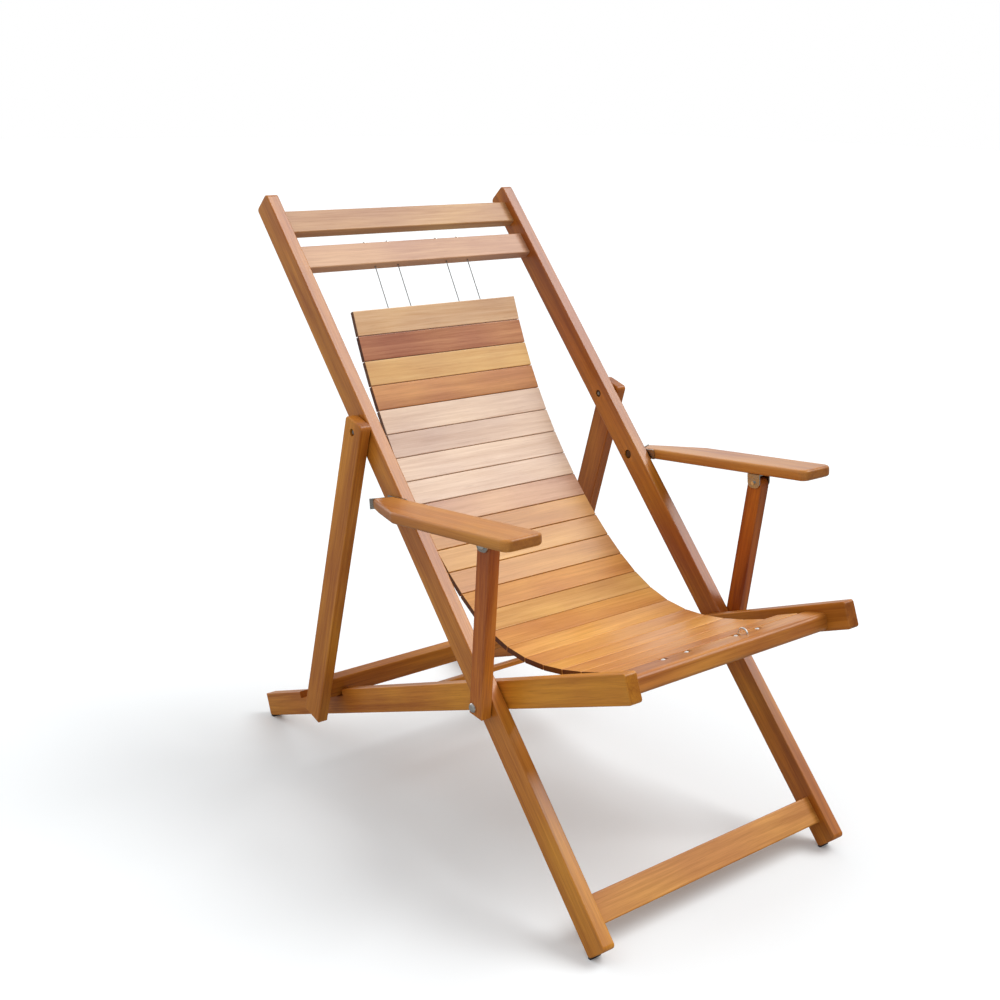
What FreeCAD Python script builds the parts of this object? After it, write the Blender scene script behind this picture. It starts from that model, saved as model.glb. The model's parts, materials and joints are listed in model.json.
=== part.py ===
import FreeCAD, Part
import math
import os
import Sketcher

# A steamer deck chair in hardwood. It is seen from the front along +Y: X is across the chair,
# the front faces -Y, Z is up, and the origin is on the floor under the middle of its outline.
# Sizes are in millimetres and angles in degrees.

SIZES = [
    ("rail_depth", 44.0, "depth of the long rails and seat rails in the side view"),
    ("rail_thickness", 22.5, "thickness of the rails across the chair"),
    ("long_rail_length", 1337.0, "length of the two rails that carry the back"),
    ("long_rail_angle", 47.3, "rise of the long rails from the floor"),
    ("seat_rail_length", 1088.0, "length of the two rails that carry the seat"),
    ("long_frame_width", 529.0, "width over the outer faces of the long rails"),
    ("side_gap", 1.0, "gap between wooden faces that turn past each other"),
    ("pivot_on_long", 394.0, "main pivot along the long rail from its foot"),
    ("pivot_on_seat", 782.0, "main pivot along the seat rail from its foot"),
    ("pivot_up_seat", 14.7, "main pivot above the lower edge of the seat rail"),
    ("foot_cut", 4.0, "height of the corner cut off each foot for its pad"),
    ("top_corner", 7.0, "rounding of the ends of the long rails and prop legs"),
    ("seat_corner", 5.0, "rounding of the front ends of the seat rails"),
    ("arris", 2.2, "rounding of the long edges of the boards"),
    ("fine_arris", 1.5, "rounding of the batten and of the rear edges of the front crossbar"),
    ("bar_width", 45.0, "width of the crossbars between the long rails"),
    ("bar_thickness", 18.0, "thickness of the crossbars between the long rails"),
    ("bar_front", 30.3, "front face of the crossbars above the rail's rear edge"),
    ("top_bar_below_end", 72.7, "lower edge of the top bar from the upper end of the long rail"),
    ("cable_bar_below_end", 147.0, "lower edge of the bar that holds the cables from that end"),
    ("low_bar_place", 35.0, "lower edge of the stretcher at the front feet"),
    ("low_bar_thickness", 22.0, "thickness of the stretcher at the front feet"),
    ("tenon_length", 12.0, "length of the tenons on all crossbars"),
    ("tenon_inset", 5.0, "shoulder left around each tenon"),
    ("joint_clearance", 0.1, "clearance around a tenon in its mortise"),
    ("mortise_spare", 1.0, "depth of a mortise beyond its tenon"),
    ("cross_width", 42.5, "width of the crossbar at the front of the seat"),
    ("cross_depth", 28.0, "depth of the crossbar at the front of the seat"),
    ("cross_tilt", 7.5, "tilt of that crossbar from the seat rail"),
    ("cross_back", 82.6, "rear edge of that crossbar behind the front end of the rail"),
    ("cross_drop", 9.3, "rear edge of that crossbar below the top of the rail"),
    ("cross_round", 8.0, "rounding of the front edges of that crossbar"),
    ("batten_place", 316.0, "rear edge of the batten between the seat rails"),
    ("batten_width", 34.0, "width of that batten"),
    ("batten_thickness", 9.0, "thickness of that batten"),
    ("batten_shoulder", 2.0, "shoulder above and below the tenons of that batten"),
    ("notch_width", 33.0, "width of the notches in the seat rails"),
    ("notch_depth", 12.3, "depth of the notches in the seat rails"),
    ("notch_pitch", 65.6, "spacing of the notches in the seat rails"),
    ("leg_depth", 47.0, "depth of the prop legs"),
    ("leg_thickness", 20.0, "thickness of the prop legs, posts and their boards"),
    ("leg_angle", 105.6, "lean of the prop legs from the floor"),
    ("leg_above_pivot", 20.0, "prop leg above its pivot"),
    ("leg_below_pivot", 576.0, "prop leg below its pivot"),
    ("pivot_prop_on_long", 877.6, "prop pivot along the long rail from its foot"),
    ("prop_bar_width", 42.0, "width of the stretcher between the prop legs"),
    ("prop_bar_thickness", 18.0, "thickness of that stretcher"),
    ("prop_bar_rear", 15.7, "rear face of that stretcher above the leg's rear edge"),
    ("lock_gap", 0.3, "gap between that stretcher and the notch it rests in"),
    ("post_depth", 30.0, "depth of the arm posts"),
    ("post_angle", 95.5, "lean of the arm posts from the floor"),
    ("post_splay", 1.75, "outward lean of the arm posts"),
    ("post_rear", 10.0, "main pivot from the rear edge of the post"),
    ("post_below_pivot", 13.0, "post below the main pivot"),
    ("post_height", 266.5, "arm hinge above the main pivot along the post"),
    ("post_head", 9.0, "post above the arm hinge"),
    ("arm_length", 372.0, "length of the inner edge of the arm"),
    ("arm_width", 70.0, "width of the arm"),
    ("arm_thickness", 18.3, "thickness of the arm"),
    ("arm_round", 5.5, "rounding of the arm's edges"),
    ("arm_front_round", 14.0, "corner radius at the front of the arm"),
    ("arm_taper_round", 20.0, "corner radius where the arm tapers"),
    ("arm_tail_round", 5.8, "corner radius at the tail of the arm"),
    ("arm_taper_start", 106.0, "start of the taper from the rear bolt of the arm"),
    ("arm_taper_end", 26.7, "end of the taper from the rear bolt of the arm"),
    ("arm_taper_width", 43.0, "width of the arm where the taper ends"),
    ("arm_tail_width", 30.0, "width of the arm at its rear tip"),
    ("arm_tail", 5.5, "rear tip of the arm behind the rear bolt"),
    ("arm_start", 11.0, "inner edge of the arm starts this far before the rear bolt"),
    ("arm_beside_rail", 3.9, "gap between the arm and the long rail"),
    ("arm_bolt_on_long", 749.3, "rear bolt of the arm along the long rail"),
    ("arm_bolt_up", 19.0, "rear bolt of the arm above the rear edge of the rail"),
    ("arm_over_hinge", 14.5, "underside of the arm above the arm hinge"),
    ("strap_thickness", 2.0, "thickness of the steel clevis under the arm"),
    ("strap_width", 26.0, "width of the steel clevis along the arm"),
    ("strap_gap", 1.0, "gap between the clevis and the post"),
    ("strap_below_hinge", 9.0, "clevis below the middle of the arm hinge"),
    ("strap_corner", 10.0, "corner radius of the clevis"),
    ("leaf_thickness", 2.5, "thickness of the steel bracket behind the arm"),
    ("leaf_height", 17.0, "height of that bracket"),
    ("leaf_length", 42.0, "length of that bracket along the arm"),
    ("leaf_behind_bolt", 8.0, "that bracket behind the rear bolt of the arm"),
    ("leaf_past_tip", 5.0, "that bracket past the outer tip of the arm"),
    ("bolt_radius", 3.0, "radius of the pivot bolts"),
    ("running_gap", 0.05, "radial gap of a bolt in the piece that turns on it"),
    ("post_slack", 0.4, "radial gap of a bolt in the leaning post, and gap beside a leaning face"),
    ("head_radius", 7.5, "radius of the domed bolt heads"),
    ("head_height", 4.0, "height of the domed bolt heads"),
    ("head_rim", 0.7, "height of the rim of a domed bolt head"),
    ("hinge_head_radius", 5.5, "radius of the heads of the arm hinge bolts"),
    ("hinge_head_rim", 0.9, "height of the rim of those heads"),
    ("hinge_bolt_tail", 3.0, "arm hinge bolt past the clevis"),
    ("nut_radius", 5.0, "radius of the nuts of the rear arm bolts"),
    ("pivot_nut_radius", 6.0, "radius of the nuts of the pivot bolts"),
    ("nut_height", 4.0, "height of the nuts"),
    ("bolt_tail", 1.0, "bolt past its nut"),
    ("washer_radius", 9.0, "radius of the washers"),
    ("washer_thickness", 0.8, "thickness of the washers"),
    ("recess_radius", 6.2, "radius of the recess for the prop bolt"),
    ("recess_depth", 6.0, "depth of the recess for the prop bolt"),
    ("prop_head_radius", 4.8, "radius of the head of the prop bolt"),
    ("recess_gap", 0.3, "gap under the head in that recess"),
    ("sink_cover", 0.5, "heads and nuts sunk in the long rail stay this far below its inner face"),
    ("sink_slack", 0.5, "radial gap around them"),
    ("slat_length", 350.0, "length of a slat across the chair"),
    ("last_slat_length", 410.0, "length of the last slat, beside the crossbar"),
    ("slat_pitch", 44.45, "spacing of the slats along the cables"),
    ("slat_gap", 1.2, "gap between two slats"),
    ("slat_thickness", 9.0, "thickness of a slat"),
    ("slat_round", 1.2, "rounding of the long edges of a slat"),
    ("front_gap", 3.0, "gap between the last slat and the crossbar"),
    ("free_cable", 79.5, "free cable above the first slat, as near as whole slats allow"),
    ("curtain_extra", 126.617, "curtain longer than the straight line between its ends"),
    ("free_cable_angle", 59.4, "slope of the free cable"),
    ("cable_radius", 1.0, "radius of the steel cables"),
    ("cable_hole", 1.7, "radius of the cable holes"),
    ("cable_inner", 52.5, "inner cables from the middle of the chair"),
    ("cable_outer", 100.0, "outer cables from the middle of the chair"),
    ("cable_tail", 7.0, "cable past the edge of the bar it is anchored in"),
    ("bead_radius", 5.2, "radius of the steel beads that stop the cables"),
    ("bead_notch", 12.0, "side of the notch that holds a bead"),
    ("sleeve_radius", 2.9, "radius of the sleeves on the cables above the cable bar"),
    ("sleeve_length", 6.0, "length of those sleeves"),
    ("eye_radius", 9.0, "bend radius of the steel eye on the front crossbar"),
    ("eye_wire", 1.6, "radius of the wire of that eye"),
    ("eye_inset", 1.5, "that eye from the rear edge of the crossbar"),
    ("eye_beside_cable", 38.0, "that eye from the outer cable towards the middle"),
    ("pad_overhang", 1.0, "inset of the rubber pads from the faces of the rail"),
    ("pad_end", 1.5, "inset of the rubber pads from the ends of the cut corner"),
]

# How the hanging curtain of slats bends: each slat turns by back_curl from the one above, and
# seat_bend more is spread like a smooth step around the slat that far from the last.
BACK_CURL = 2.71
BEND_FROM_END = 6.7
BEND_SPREAD = 1.2

# The search for the curtain starts at this slope of the back and this bend at the seat, and
# compares each with a slope nudged by this much, this many times.
BACK_SLOPE = 68.0
BEND_START = 35.7
NUDGE = 0.01
STEPS = 40

# Settings of the back: notches in each seat rail
NOTCHES = 3

# A bend of a cable takes up this share of the shorter run beside it, or more where a run is
# shorter than the short run.
BEND_SHARE = 0.25
SHORT_SHARE = 0.45
SHORT_RUN = 6.0

# A cutting outline starts this far outside the wood.
OUTSIDE = 1.0

doc = FreeCAD.newDocument("deck_chair")
sheet = doc.addObject("Spreadsheet::Sheet", "Sizes")


class Size:
    """A size from the sheet, or a sum or product of sizes: its expression and its value."""

    def __init__(self, text, value):
        self.text = text
        self.value = value

    def __add__(self, other):
        return combine(self, other, "+", self.value + number(other))

    def __radd__(self, other):
        return combine(other, self, "+", number(other) + self.value)

    def __sub__(self, other):
        return combine(self, other, "-", self.value - number(other))

    def __rsub__(self, other):
        return combine(other, self, "-", number(other) - self.value)

    def __mul__(self, other):
        return combine(self, other, "*", self.value * number(other))

    def __rmul__(self, other):
        return combine(other, self, "*", number(other) * self.value)

    def __truediv__(self, other):
        return combine(self, other, "/", self.value / number(other))

    def __neg__(self):
        return Size("(0 - %s)" % self.text, -self.value)


def number(item):
    return item.value if isinstance(item, Size) else float(item)


def wording(item):
    return item.text if isinstance(item, Size) else repr(float(item))


def combine(left, right, sign, value):
    return Size("(%s %s %s)" % (wording(left), sign, wording(right)), value)


def fill_sheet():
    sizes = {}
    for row, (alias, value, meaning) in enumerate(SIZES, start=1):
        sheet.set("A%d" % row, meaning)
        sheet.set("B%d" % row, str(value))
        sheet.setAlias("B%d" % row, alias)
        sizes[alias] = Size("Sizes." + alias, value)
    doc.recompute()
    return sizes


S = fill_sheet()


def val(alias):
    return S[alias].value


class Line:
    """A board's own axes in the side view: a point, and its direction as an angle."""

    def __init__(self, origin, angle):
        self.origin = origin
        self.angle = angle
        self.along = (math.cos(math.radians(angle)), math.sin(math.radians(angle)))
        self.across = (-self.along[1], self.along[0])

    def at(self, along, across):
        y = self.origin[0] + self.along[0] * along + self.across[0] * across
        z = self.origin[1] + self.along[1] * along + self.across[1] * across
        return (y, z)

    def measure(self, point):
        y = point[0] - self.origin[0]
        z = point[1] - self.origin[1]
        return (y * self.along[0] + z * self.along[1], y * self.across[0] + z * self.across[1])

    def placement(self, x, along=0.0, across=0.0, turn=0.0):
        """Local X along the board, local Y across it in the side view and local Z along world X."""
        y, z = self.at(along, across)
        axes = FreeCAD.Matrix(0, 0, 1, 0, self.along[0], self.across[0], 0, 0,
                              self.along[1], self.across[1], 0, 0, 0, 0, 0, 1)
        rotation = FreeCAD.Placement(axes).Rotation
        if turn:
            rotation = rotation.multiply(FreeCAD.Rotation(FreeCAD.Vector(0, 0, 1), turn))
        return FreeCAD.Placement(FreeCAD.Vector(x, y, z), rotation)


# Bodies, sketches and features

def new_body(label, pair=False):
    body = doc.addObject("PartDesign::Body", label)
    body.Label = label
    if pair:
        body.AllowCompound = True
    return body


def plane_of(body, role):
    return [item for item in body.Origin.OriginFeatures if item.Role == role][0]


def new_sketch(body, name, role="XY_Plane", lift=0.0):
    sketch = body.newObject("Sketcher::SketchObject", name)
    sketch.AttachmentSupport = [(plane_of(body, role), "")]
    sketch.MapMode = "FlatFace"
    if number(lift):
        base = FreeCAD.Vector(0, 0, number(lift))
        sketch.AttachmentOffset = FreeCAD.Placement(base, FreeCAD.Rotation())
        sketch.setExpression("AttachmentOffset.Base.z", wording(lift))
    return sketch


def bind(sketch, kind, item, *where):
    """A constraint whose value follows the sheet where it is a size."""
    index = sketch.addConstraint(Sketcher.Constraint(kind, *where, number(item)))
    if isinstance(item, Size):
        sketch.setExpression("Constraints[%d]" % index, item.text)


def pin_point(sketch, geometry, position, x, y):
    if abs(number(x)) < 1e-9:
        sketch.addConstraint(Sketcher.Constraint("PointOnObject", geometry, position, -2))
    else:
        bind(sketch, "DistanceX", x, -1, 1, geometry, position)
    if abs(number(y)) < 1e-9:
        sketch.addConstraint(Sketcher.Constraint("PointOnObject", geometry, position, -1))
    else:
        bind(sketch, "DistanceY", y, -1, 1, geometry, position)


def draw_outline(sketch, points):
    """A closed outline of straight lines, each corner held at its own sizes."""
    corners = [FreeCAD.Vector(number(x), number(y), 0) for x, y in points]
    first = sketch.GeometryCount
    count = len(points)
    for index in range(count):
        sketch.addGeometry(Part.LineSegment(corners[index], corners[(index + 1) % count]), False)
    for index in range(count):
        following = (index + 1) % count
        link = Sketcher.Constraint("Coincident", first + index, 2, first + following, 1)
        sketch.addConstraint(link)
    for index, (x, y) in enumerate(points):
        pin_point(sketch, first + index, 1, x, y)


def draw_circle(sketch, x, y, radius):
    center = FreeCAD.Vector(number(x), number(y), 0)
    circle = sketch.addGeometry(Part.Circle(center, FreeCAD.Vector(0, 0, 1), number(radius)), False)
    pin_point(sketch, circle, 3, x, y)
    bind(sketch, "Radius", radius, circle)


def box_points(x, y, width, height):
    return [(x, y), (x + width, y), (x + width, y + height), (x, y + height)]


def pad(body, sketch, length):
    feature = body.newObject("PartDesign::Pad", sketch.Name + "_pad")
    feature.Profile = sketch
    feature.Length = number(length)
    feature.setExpression("Length", wording(length))
    sketch.Visibility = False
    doc.recompute()
    return feature


def pocket(body, sketch, depth=None, reverse=False):
    """A cut from the sketch, through everything or to a depth. It has to take wood away."""
    before = body.Shape.Volume
    feature = body.newObject("PartDesign::Pocket", sketch.Name + "_pocket")
    feature.Profile = sketch
    feature.Reversed = reverse
    if depth is None:
        feature.Type = "ThroughAll"
    else:
        feature.Length = number(depth)
        feature.setExpression("Length", wording(depth))
    doc.recompute()
    if not body.Shape.Volume < before - 1e-3:
        raise RuntimeError("the cut %s takes nothing away" % sketch.Name)
    return feature


def spin(body, sketch):
    """A turned piece: the outline is revolved about its own X axis."""
    feature = body.newObject("PartDesign::Revolution", sketch.Name + "_turning")
    feature.Profile = sketch
    feature.ReferenceAxis = (sketch, ["H_Axis"])
    feature.Angle = 360.0
    doc.recompute()
    return feature


def mirror(body, originals):
    """The same on the other side of the chair."""
    feature = body.newObject("PartDesign::Mirrored", body.Name + "_pair")
    feature.Originals = originals
    feature.MirrorPlane = (plane_of(body, "YZ_Plane"), [""])
    body.Tip = feature
    doc.recompute()
    return feature


def soften(body, radius, chosen):
    """Rounds the edges for which chosen(edge) is true."""
    base = body.Tip
    names = ["Edge%d" % (index + 1) for index, edge in enumerate(base.Shape.Edges) if chosen(edge)]
    if not names:
        raise RuntimeError("no edge to round on %s" % body.Label)
    feature = body.newObject("PartDesign::Fillet", body.Name + "_rounding")
    feature.Base = (base, names)
    feature.Radius = number(radius)
    feature.setExpression("Radius", wording(radius))
    doc.recompute()
    return feature


def direction(edge):
    first = edge.Vertexes[0].Point
    last = edge.Vertexes[-1].Point
    step = last.sub(first)
    return step.normalize() if step.Length > 1e-9 else FreeCAD.Vector(0, 0, 0)


def middle(edge):
    return edge.CenterOfMass


def upright(edge):
    """An edge along the thickness of the board."""
    return abs(direction(edge).z) > 0.99


def at_corner(points, reach=0.5):
    """Edges along the thickness that stand at one of these corners."""
    spots = [(number(x), number(y)) for x, y in points]

    def chosen(edge):
        spot = middle(edge)
        near = [abs(spot.x - x) < reach and abs(spot.y - y) < reach for x, y in spots]
        return upright(edge) and any(near)

    return chosen


def lies_flat(edge):
    return not upright(edge)


# Places of the frames in the side view

def seat_rail_angle():
    """The slope that brings the foot of the seat rail to the floor."""
    height = foot_line.at(val("pivot_on_long"), val("rail_depth") / 2)[1]
    reach = math.hypot(val("pivot_on_seat"), val("pivot_up_seat"))
    offset = math.atan2(val("pivot_up_seat"), val("pivot_on_seat"))
    return math.degrees(math.asin(height / reach) - offset)


foot_line = Line((0.0, 0.0), val("long_rail_angle"))
SEAT_RAIL_ANGLE = seat_rail_angle()


def seat_line_through(point):
    """Seat rail axes: along runs forward from the rear foot, across points up."""
    line = Line((0.0, 0.0), 180.0 - SEAT_RAIL_ANGLE)
    y, z = line.at(val("pivot_on_seat"), -val("pivot_up_seat"))
    return Line((point[0] - y, point[1] - z), 180.0 - SEAT_RAIL_ANGLE)


def centred_frames():
    """Both frames, moved so that the outline of the chair is centred on the origin."""
    main = foot_line.at(val("pivot_on_long"), val("rail_depth") / 2)
    seat = seat_line_through(main)
    rear = seat.at(0, -val("rail_depth"))[0]
    front = seat.at(val("seat_rail_length"), 0)[0]
    shift = -(rear + front) / 2
    long_line = Line((shift, 0.0), val("long_rail_angle"))
    seat_line = Line((seat.origin[0] + shift, seat.origin[1]), seat.angle)
    return long_line, seat_line


LONG, SEAT = centred_frames()
# On the seat rail the distance up from the lower edge is counted against its across axis.
MAIN_PIVOT = LONG.at(val("pivot_on_long"), val("rail_depth") / 2)
PROP_PIVOT = LONG.at(val("pivot_prop_on_long"), val("rail_depth") / 2)
PROP = Line(PROP_PIVOT, val("leg_angle"))
POST = Line(MAIN_PIVOT, val("post_angle"))
UPRIGHT_HINGE = POST.at(val("post_height"), val("post_depth") / 2 - val("post_rear"))
LEAN = math.radians(val("post_splay"))
ARM_HINGE = (UPRIGHT_HINGE[0], MAIN_PIVOT[1] + (UPRIGHT_HINGE[1] - MAIN_PIVOT[1]) * math.cos(LEAN))
ARM_BOLT = LONG.at(val("arm_bolt_on_long"), val("arm_bolt_up"))

# Lower edges of the two upper bars along the long rail
TOP_BAR_PLACE = S["long_rail_length"] - S["top_bar_below_end"]
CABLE_BAR_PLACE = S["long_rail_length"] - S["cable_bar_below_end"]

# Faces across the chair, from the middle outwards
LONG_OUTER = S["long_frame_width"] / 2
LONG_INNER = LONG_OUTER - S["rail_thickness"]
SEAT_OUTER = LONG_INNER - S["side_gap"]
SEAT_INNER = SEAT_OUTER - S["rail_thickness"]
LEG_INNER = LONG_OUTER + S["side_gap"]
LEG_OUTER = LEG_INNER + S["leg_thickness"]
ARM_INNER = LONG_OUTER + S["arm_beside_rail"]

# Depths of the recesses in the inner face of the long rail, so that the seat rails fold past it
NUT_SINK = S["sink_cover"] + S["bolt_tail"] + S["nut_height"]
HEAD_SINK = S["sink_cover"] + S["head_height"]


def seat_at(along, up):
    return SEAT.at(along, -up)


def notch_and_stretcher():
    """Where the prop's stretcher ends, measured down the leg, and where it rests along the rail."""
    front = val("prop_bar_rear") + val("prop_bar_thickness") - val("leg_depth") / 2
    corner_up = val("rail_depth") - val("notch_depth") + val("lock_gap")
    sample = val("leg_below_pivot")
    near = -SEAT.measure(PROP.at(0, front))[1]
    far = -SEAT.measure(PROP.at(-sample, front))[1]
    down = sample * (near - corner_up) / (near - far)
    rear = val("prop_bar_rear") - val("leg_depth") / 2
    landing = SEAT.measure(PROP.at(-down, rear))[0]
    rear_up = -SEAT.measure(PROP.at(-down, rear))[1]
    slope = math.radians(val("leg_angle") - (180.0 - SEAT_RAIL_ANGLE))
    top = landing + (val("rail_depth") - rear_up) / math.tan(-slope)
    return down, min(top, landing)


STRETCHER_DOWN, LOCK_EDGE = notch_and_stretcher()
NOTCH_START = LOCK_EDGE - val("lock_gap")


def both_sides():
    return (("left", -1), ("right", 1))


def face_at(side, inner, thickness):
    """The lower X of a board whose inner face is at inner on either side."""
    return number(inner) if side > 0 else -number(inner) - number(thickness)


# Wooden boards

def board(label, length, depth, thickness, corners, round_size):
    """A board lying along its local X, with rounded end corners and eased edges."""
    body = new_body(label)
    sketch = new_sketch(body, label + "_outline")
    draw_outline(sketch, box_points(0.0, 0.0, length, depth))
    pad(body, sketch, thickness)
    if corners:
        soften(body, round_size, at_corner(corners))
    soften(body, S["arris"], lies_flat)
    return body


def bore(body, name, spots, depth=None, lift=0.0, reverse=True, role="XY_Plane"):
    sketch = new_sketch(body, name, role, lift)
    for x, y, radius in spots:
        draw_circle(sketch, x, y, radius)
    pocket(body, sketch, depth, reverse)


def inner_face(side):
    """The inner face of a rail, across its own thickness."""
    return 0.0 if side > 0 else S["rail_thickness"]


def mortises(body, places, side):
    """Blind mortises in the inner face for the tenons of the crossbars."""
    sketch = new_sketch(body, body.Name + "_mortises", "XY_Plane", inner_face(side))
    for x, y, width, height in places:
        draw_outline(sketch, box_points(x, y, width, height))
    pocket(body, sketch, S["tenon_length"] + S["mortise_spare"], side > 0)


def mortise_for(start, rear, width, thickness):
    """The mortise of a crossbar, from the bar's edge and rear face along and across the board."""
    inset = S["tenon_inset"] - S["joint_clearance"]
    return (start + inset, rear + inset, width - inset * 2, thickness - inset * 2)


def cut_foot(body, name, slope, edge, outward):
    """The lowest corner, on the given edge of the rail, is cut level with the floor for its pad."""
    run = val("foot_cut") / math.sin(math.radians(slope))
    rise = val("foot_cut") / math.cos(math.radians(slope))
    sketch = new_sketch(body, name)
    beyond = edge + OUTSIDE * outward
    inside = edge - rise * outward
    draw_outline(sketch, [(-OUTSIDE, beyond), (run, beyond), (run, edge), (0.0, inside),
                          (-OUTSIDE, inside)])
    pocket(body, sketch, None, True)


def long_rail(name, side):
    body = board("long_rail_" + name, S["long_rail_length"], S["rail_depth"], S["rail_thickness"],
                 [(S["long_rail_length"], 0.0), (S["long_rail_length"], S["rail_depth"]),
                  (0.0, S["rail_depth"])], S["top_corner"])
    cut_foot(body, "long_foot_" + name, val("long_rail_angle"), 0.0, -1)
    middle_line = S["rail_depth"] / 2
    bore(body, "long_bores_" + name, [
        (S["pivot_on_long"], middle_line, S["bolt_radius"] + S["running_gap"]),
        (S["pivot_prop_on_long"], middle_line, S["bolt_radius"] + S["running_gap"]),
        (S["arm_bolt_on_long"], S["arm_bolt_up"], S["bolt_radius"] + S["running_gap"]),
    ])
    bore(body, "long_nut_sink_" + name,
         [(S["pivot_prop_on_long"], middle_line, S["pivot_nut_radius"] + S["sink_slack"])],
         NUT_SINK, inner_face(side), side > 0)
    bore(body, "long_head_sink_" + name,
         [(S["arm_bolt_on_long"], S["arm_bolt_up"], S["head_radius"] + S["sink_slack"])],
         HEAD_SINK, inner_face(side), side > 0)
    rear = S["bar_front"] - S["bar_thickness"]
    low_rear = S["bar_front"] - S["low_bar_thickness"]
    mortises(body, [
        mortise_for(TOP_BAR_PLACE, rear, S["bar_width"], S["bar_thickness"]),
        mortise_for(CABLE_BAR_PLACE, rear, S["bar_width"], S["bar_thickness"]),
        mortise_for(S["low_bar_place"], low_rear, S["bar_width"], S["low_bar_thickness"]),
    ], side)
    body.Placement = LONG.placement(face_at(side, LONG_INNER, S["rail_thickness"]))


def crossbar(label, width, thickness, length, rounding):
    """A bar between two rails, with a tenon at each end. Local Z runs across the chair."""
    body = new_body(label)
    sketch = new_sketch(body, label + "_section")
    draw_outline(sketch, box_points(0.0, 0.0, width, thickness))
    pad(body, sketch, length)
    soften(body, rounding, upright)
    tenon = new_sketch(body, label + "_tenons", "XY_Plane", -S["tenon_length"])
    inset = S["tenon_inset"]
    draw_outline(tenon, box_points(inset, inset, width - inset * 2, thickness - inset * 2))
    pad(body, tenon, length + S["tenon_length"] * 2)
    return body


def long_crossbars():
    length = LONG_INNER * 2
    rear = val("bar_front") - val("bar_thickness")
    bar = crossbar("top_bar", S["bar_width"], S["bar_thickness"], length, S["arris"])
    bar.Placement = LONG.placement(-LONG_INNER.value, TOP_BAR_PLACE.value, rear)
    holder = crossbar("cable_bar", S["bar_width"], S["bar_thickness"], length, S["arris"])
    spots = []
    for x in cable_places():
        spots.append((S["bar_thickness"] / 2, LONG_INNER + x, S["cable_hole"]))
    bore(holder, "cable_bar_bores", spots, None, 0.0, True, "YZ_Plane")
    holder.Placement = LONG.placement(-LONG_INNER.value, CABLE_BAR_PLACE.value, rear)
    low_rear = val("bar_front") - val("low_bar_thickness")
    low = crossbar("front_foot_stretcher", S["bar_width"], S["low_bar_thickness"], length, S["arris"])
    low.Placement = LONG.placement(-LONG_INNER.value, val("low_bar_place"), low_rear)


def cable_places():
    return [-S["cable_outer"], -S["cable_inner"], S["cable_inner"], S["cable_outer"]]


# The seat frame

def cross_axes():
    """The front crossbar's own axes, from its upper rear edge, along its top to the front."""
    corner = seat_at(val("seat_rail_length") - val("cross_back"), val("rail_depth") - val("cross_drop"))
    return Line(corner, SEAT.angle + val("cross_tilt"))


CROSS = cross_axes()


def seat_rail(name, side):
    """Its local Y runs down from the upper edge."""
    body = board("seat_rail_" + name, S["seat_rail_length"], S["rail_depth"], S["rail_thickness"],
                 [(S["seat_rail_length"], 0.0), (S["seat_rail_length"], S["rail_depth"])],
                 S["seat_corner"])
    cut_foot(body, "seat_foot_" + name, SEAT_RAIL_ANGLE, S["rail_depth"], 1)
    notches = new_sketch(body, "seat_notches_" + name)
    for step in range(NOTCHES):
        start = NOTCH_START - S["notch_pitch"] * step
        draw_outline(notches, box_points(start, -OUTSIDE, S["notch_width"], S["notch_depth"] + OUTSIDE))
    pocket(body, notches, None, True)
    bore(body, "seat_bores_" + name, [
        (S["pivot_on_seat"], S["rail_depth"] - S["pivot_up_seat"],
         S["bolt_radius"] + S["running_gap"]),
    ])
    seat_mortises(body, name, side)
    top = seat_at(0.0, val("rail_depth"))
    body.Placement = Line(top, SEAT.angle).placement(face_at(side, SEAT_INNER, S["rail_thickness"]))
    return body


def seat_mortises(body, name, side):
    """Mortises for the batten and for the tilted front crossbar."""
    inset = S["tenon_inset"] - S["joint_clearance"]
    flat = new_sketch(body, "seat_mortises_" + name, "XY_Plane", inner_face(side))
    low = S["rail_depth"] - S["batten_thickness"]
    shoulder = S["batten_shoulder"] - S["joint_clearance"]
    draw_outline(flat, box_points(S["batten_place"] + inset, low + shoulder,
                                  S["batten_width"] - inset * 2,
                                  S["batten_thickness"] - shoulder * 2))
    rear = (val("seat_rail_length") - val("cross_back"), val("cross_drop"))
    front = Line(rear, val("cross_tilt"))
    width = val("cross_width") - inset.value * 2
    height = val("cross_depth") - inset.value * 2
    corners = box_points(inset.value, inset.value, width, height)
    draw_outline(flat, [front.at(x, y) for x, y in corners])
    pocket(body, flat, S["tenon_length"] + S["mortise_spare"], side > 0)


def seat_batten():
    body = new_body("seat_batten")
    sketch = new_sketch(body, "seat_batten_section")
    draw_outline(sketch, box_points(0.0, 0.0, S["batten_width"], S["batten_thickness"]))
    pad(body, sketch, SEAT_INNER * 2)
    soften(body, S["fine_arris"], upright)
    tenon = new_sketch(body, "seat_batten_tenons", "XY_Plane", -S["tenon_length"])
    inset = S["tenon_inset"]
    draw_outline(tenon, box_points(inset, S["batten_shoulder"], S["batten_width"] - inset * 2,
                                   S["batten_thickness"] - S["batten_shoulder"] * 2))
    pad(body, tenon, SEAT_INNER * 2 + S["tenon_length"] * 2)
    upper = seat_at(val("batten_place"), val("batten_thickness"))
    body.Placement = Line(upper, SEAT.angle).placement(-SEAT_INNER.value)


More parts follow.
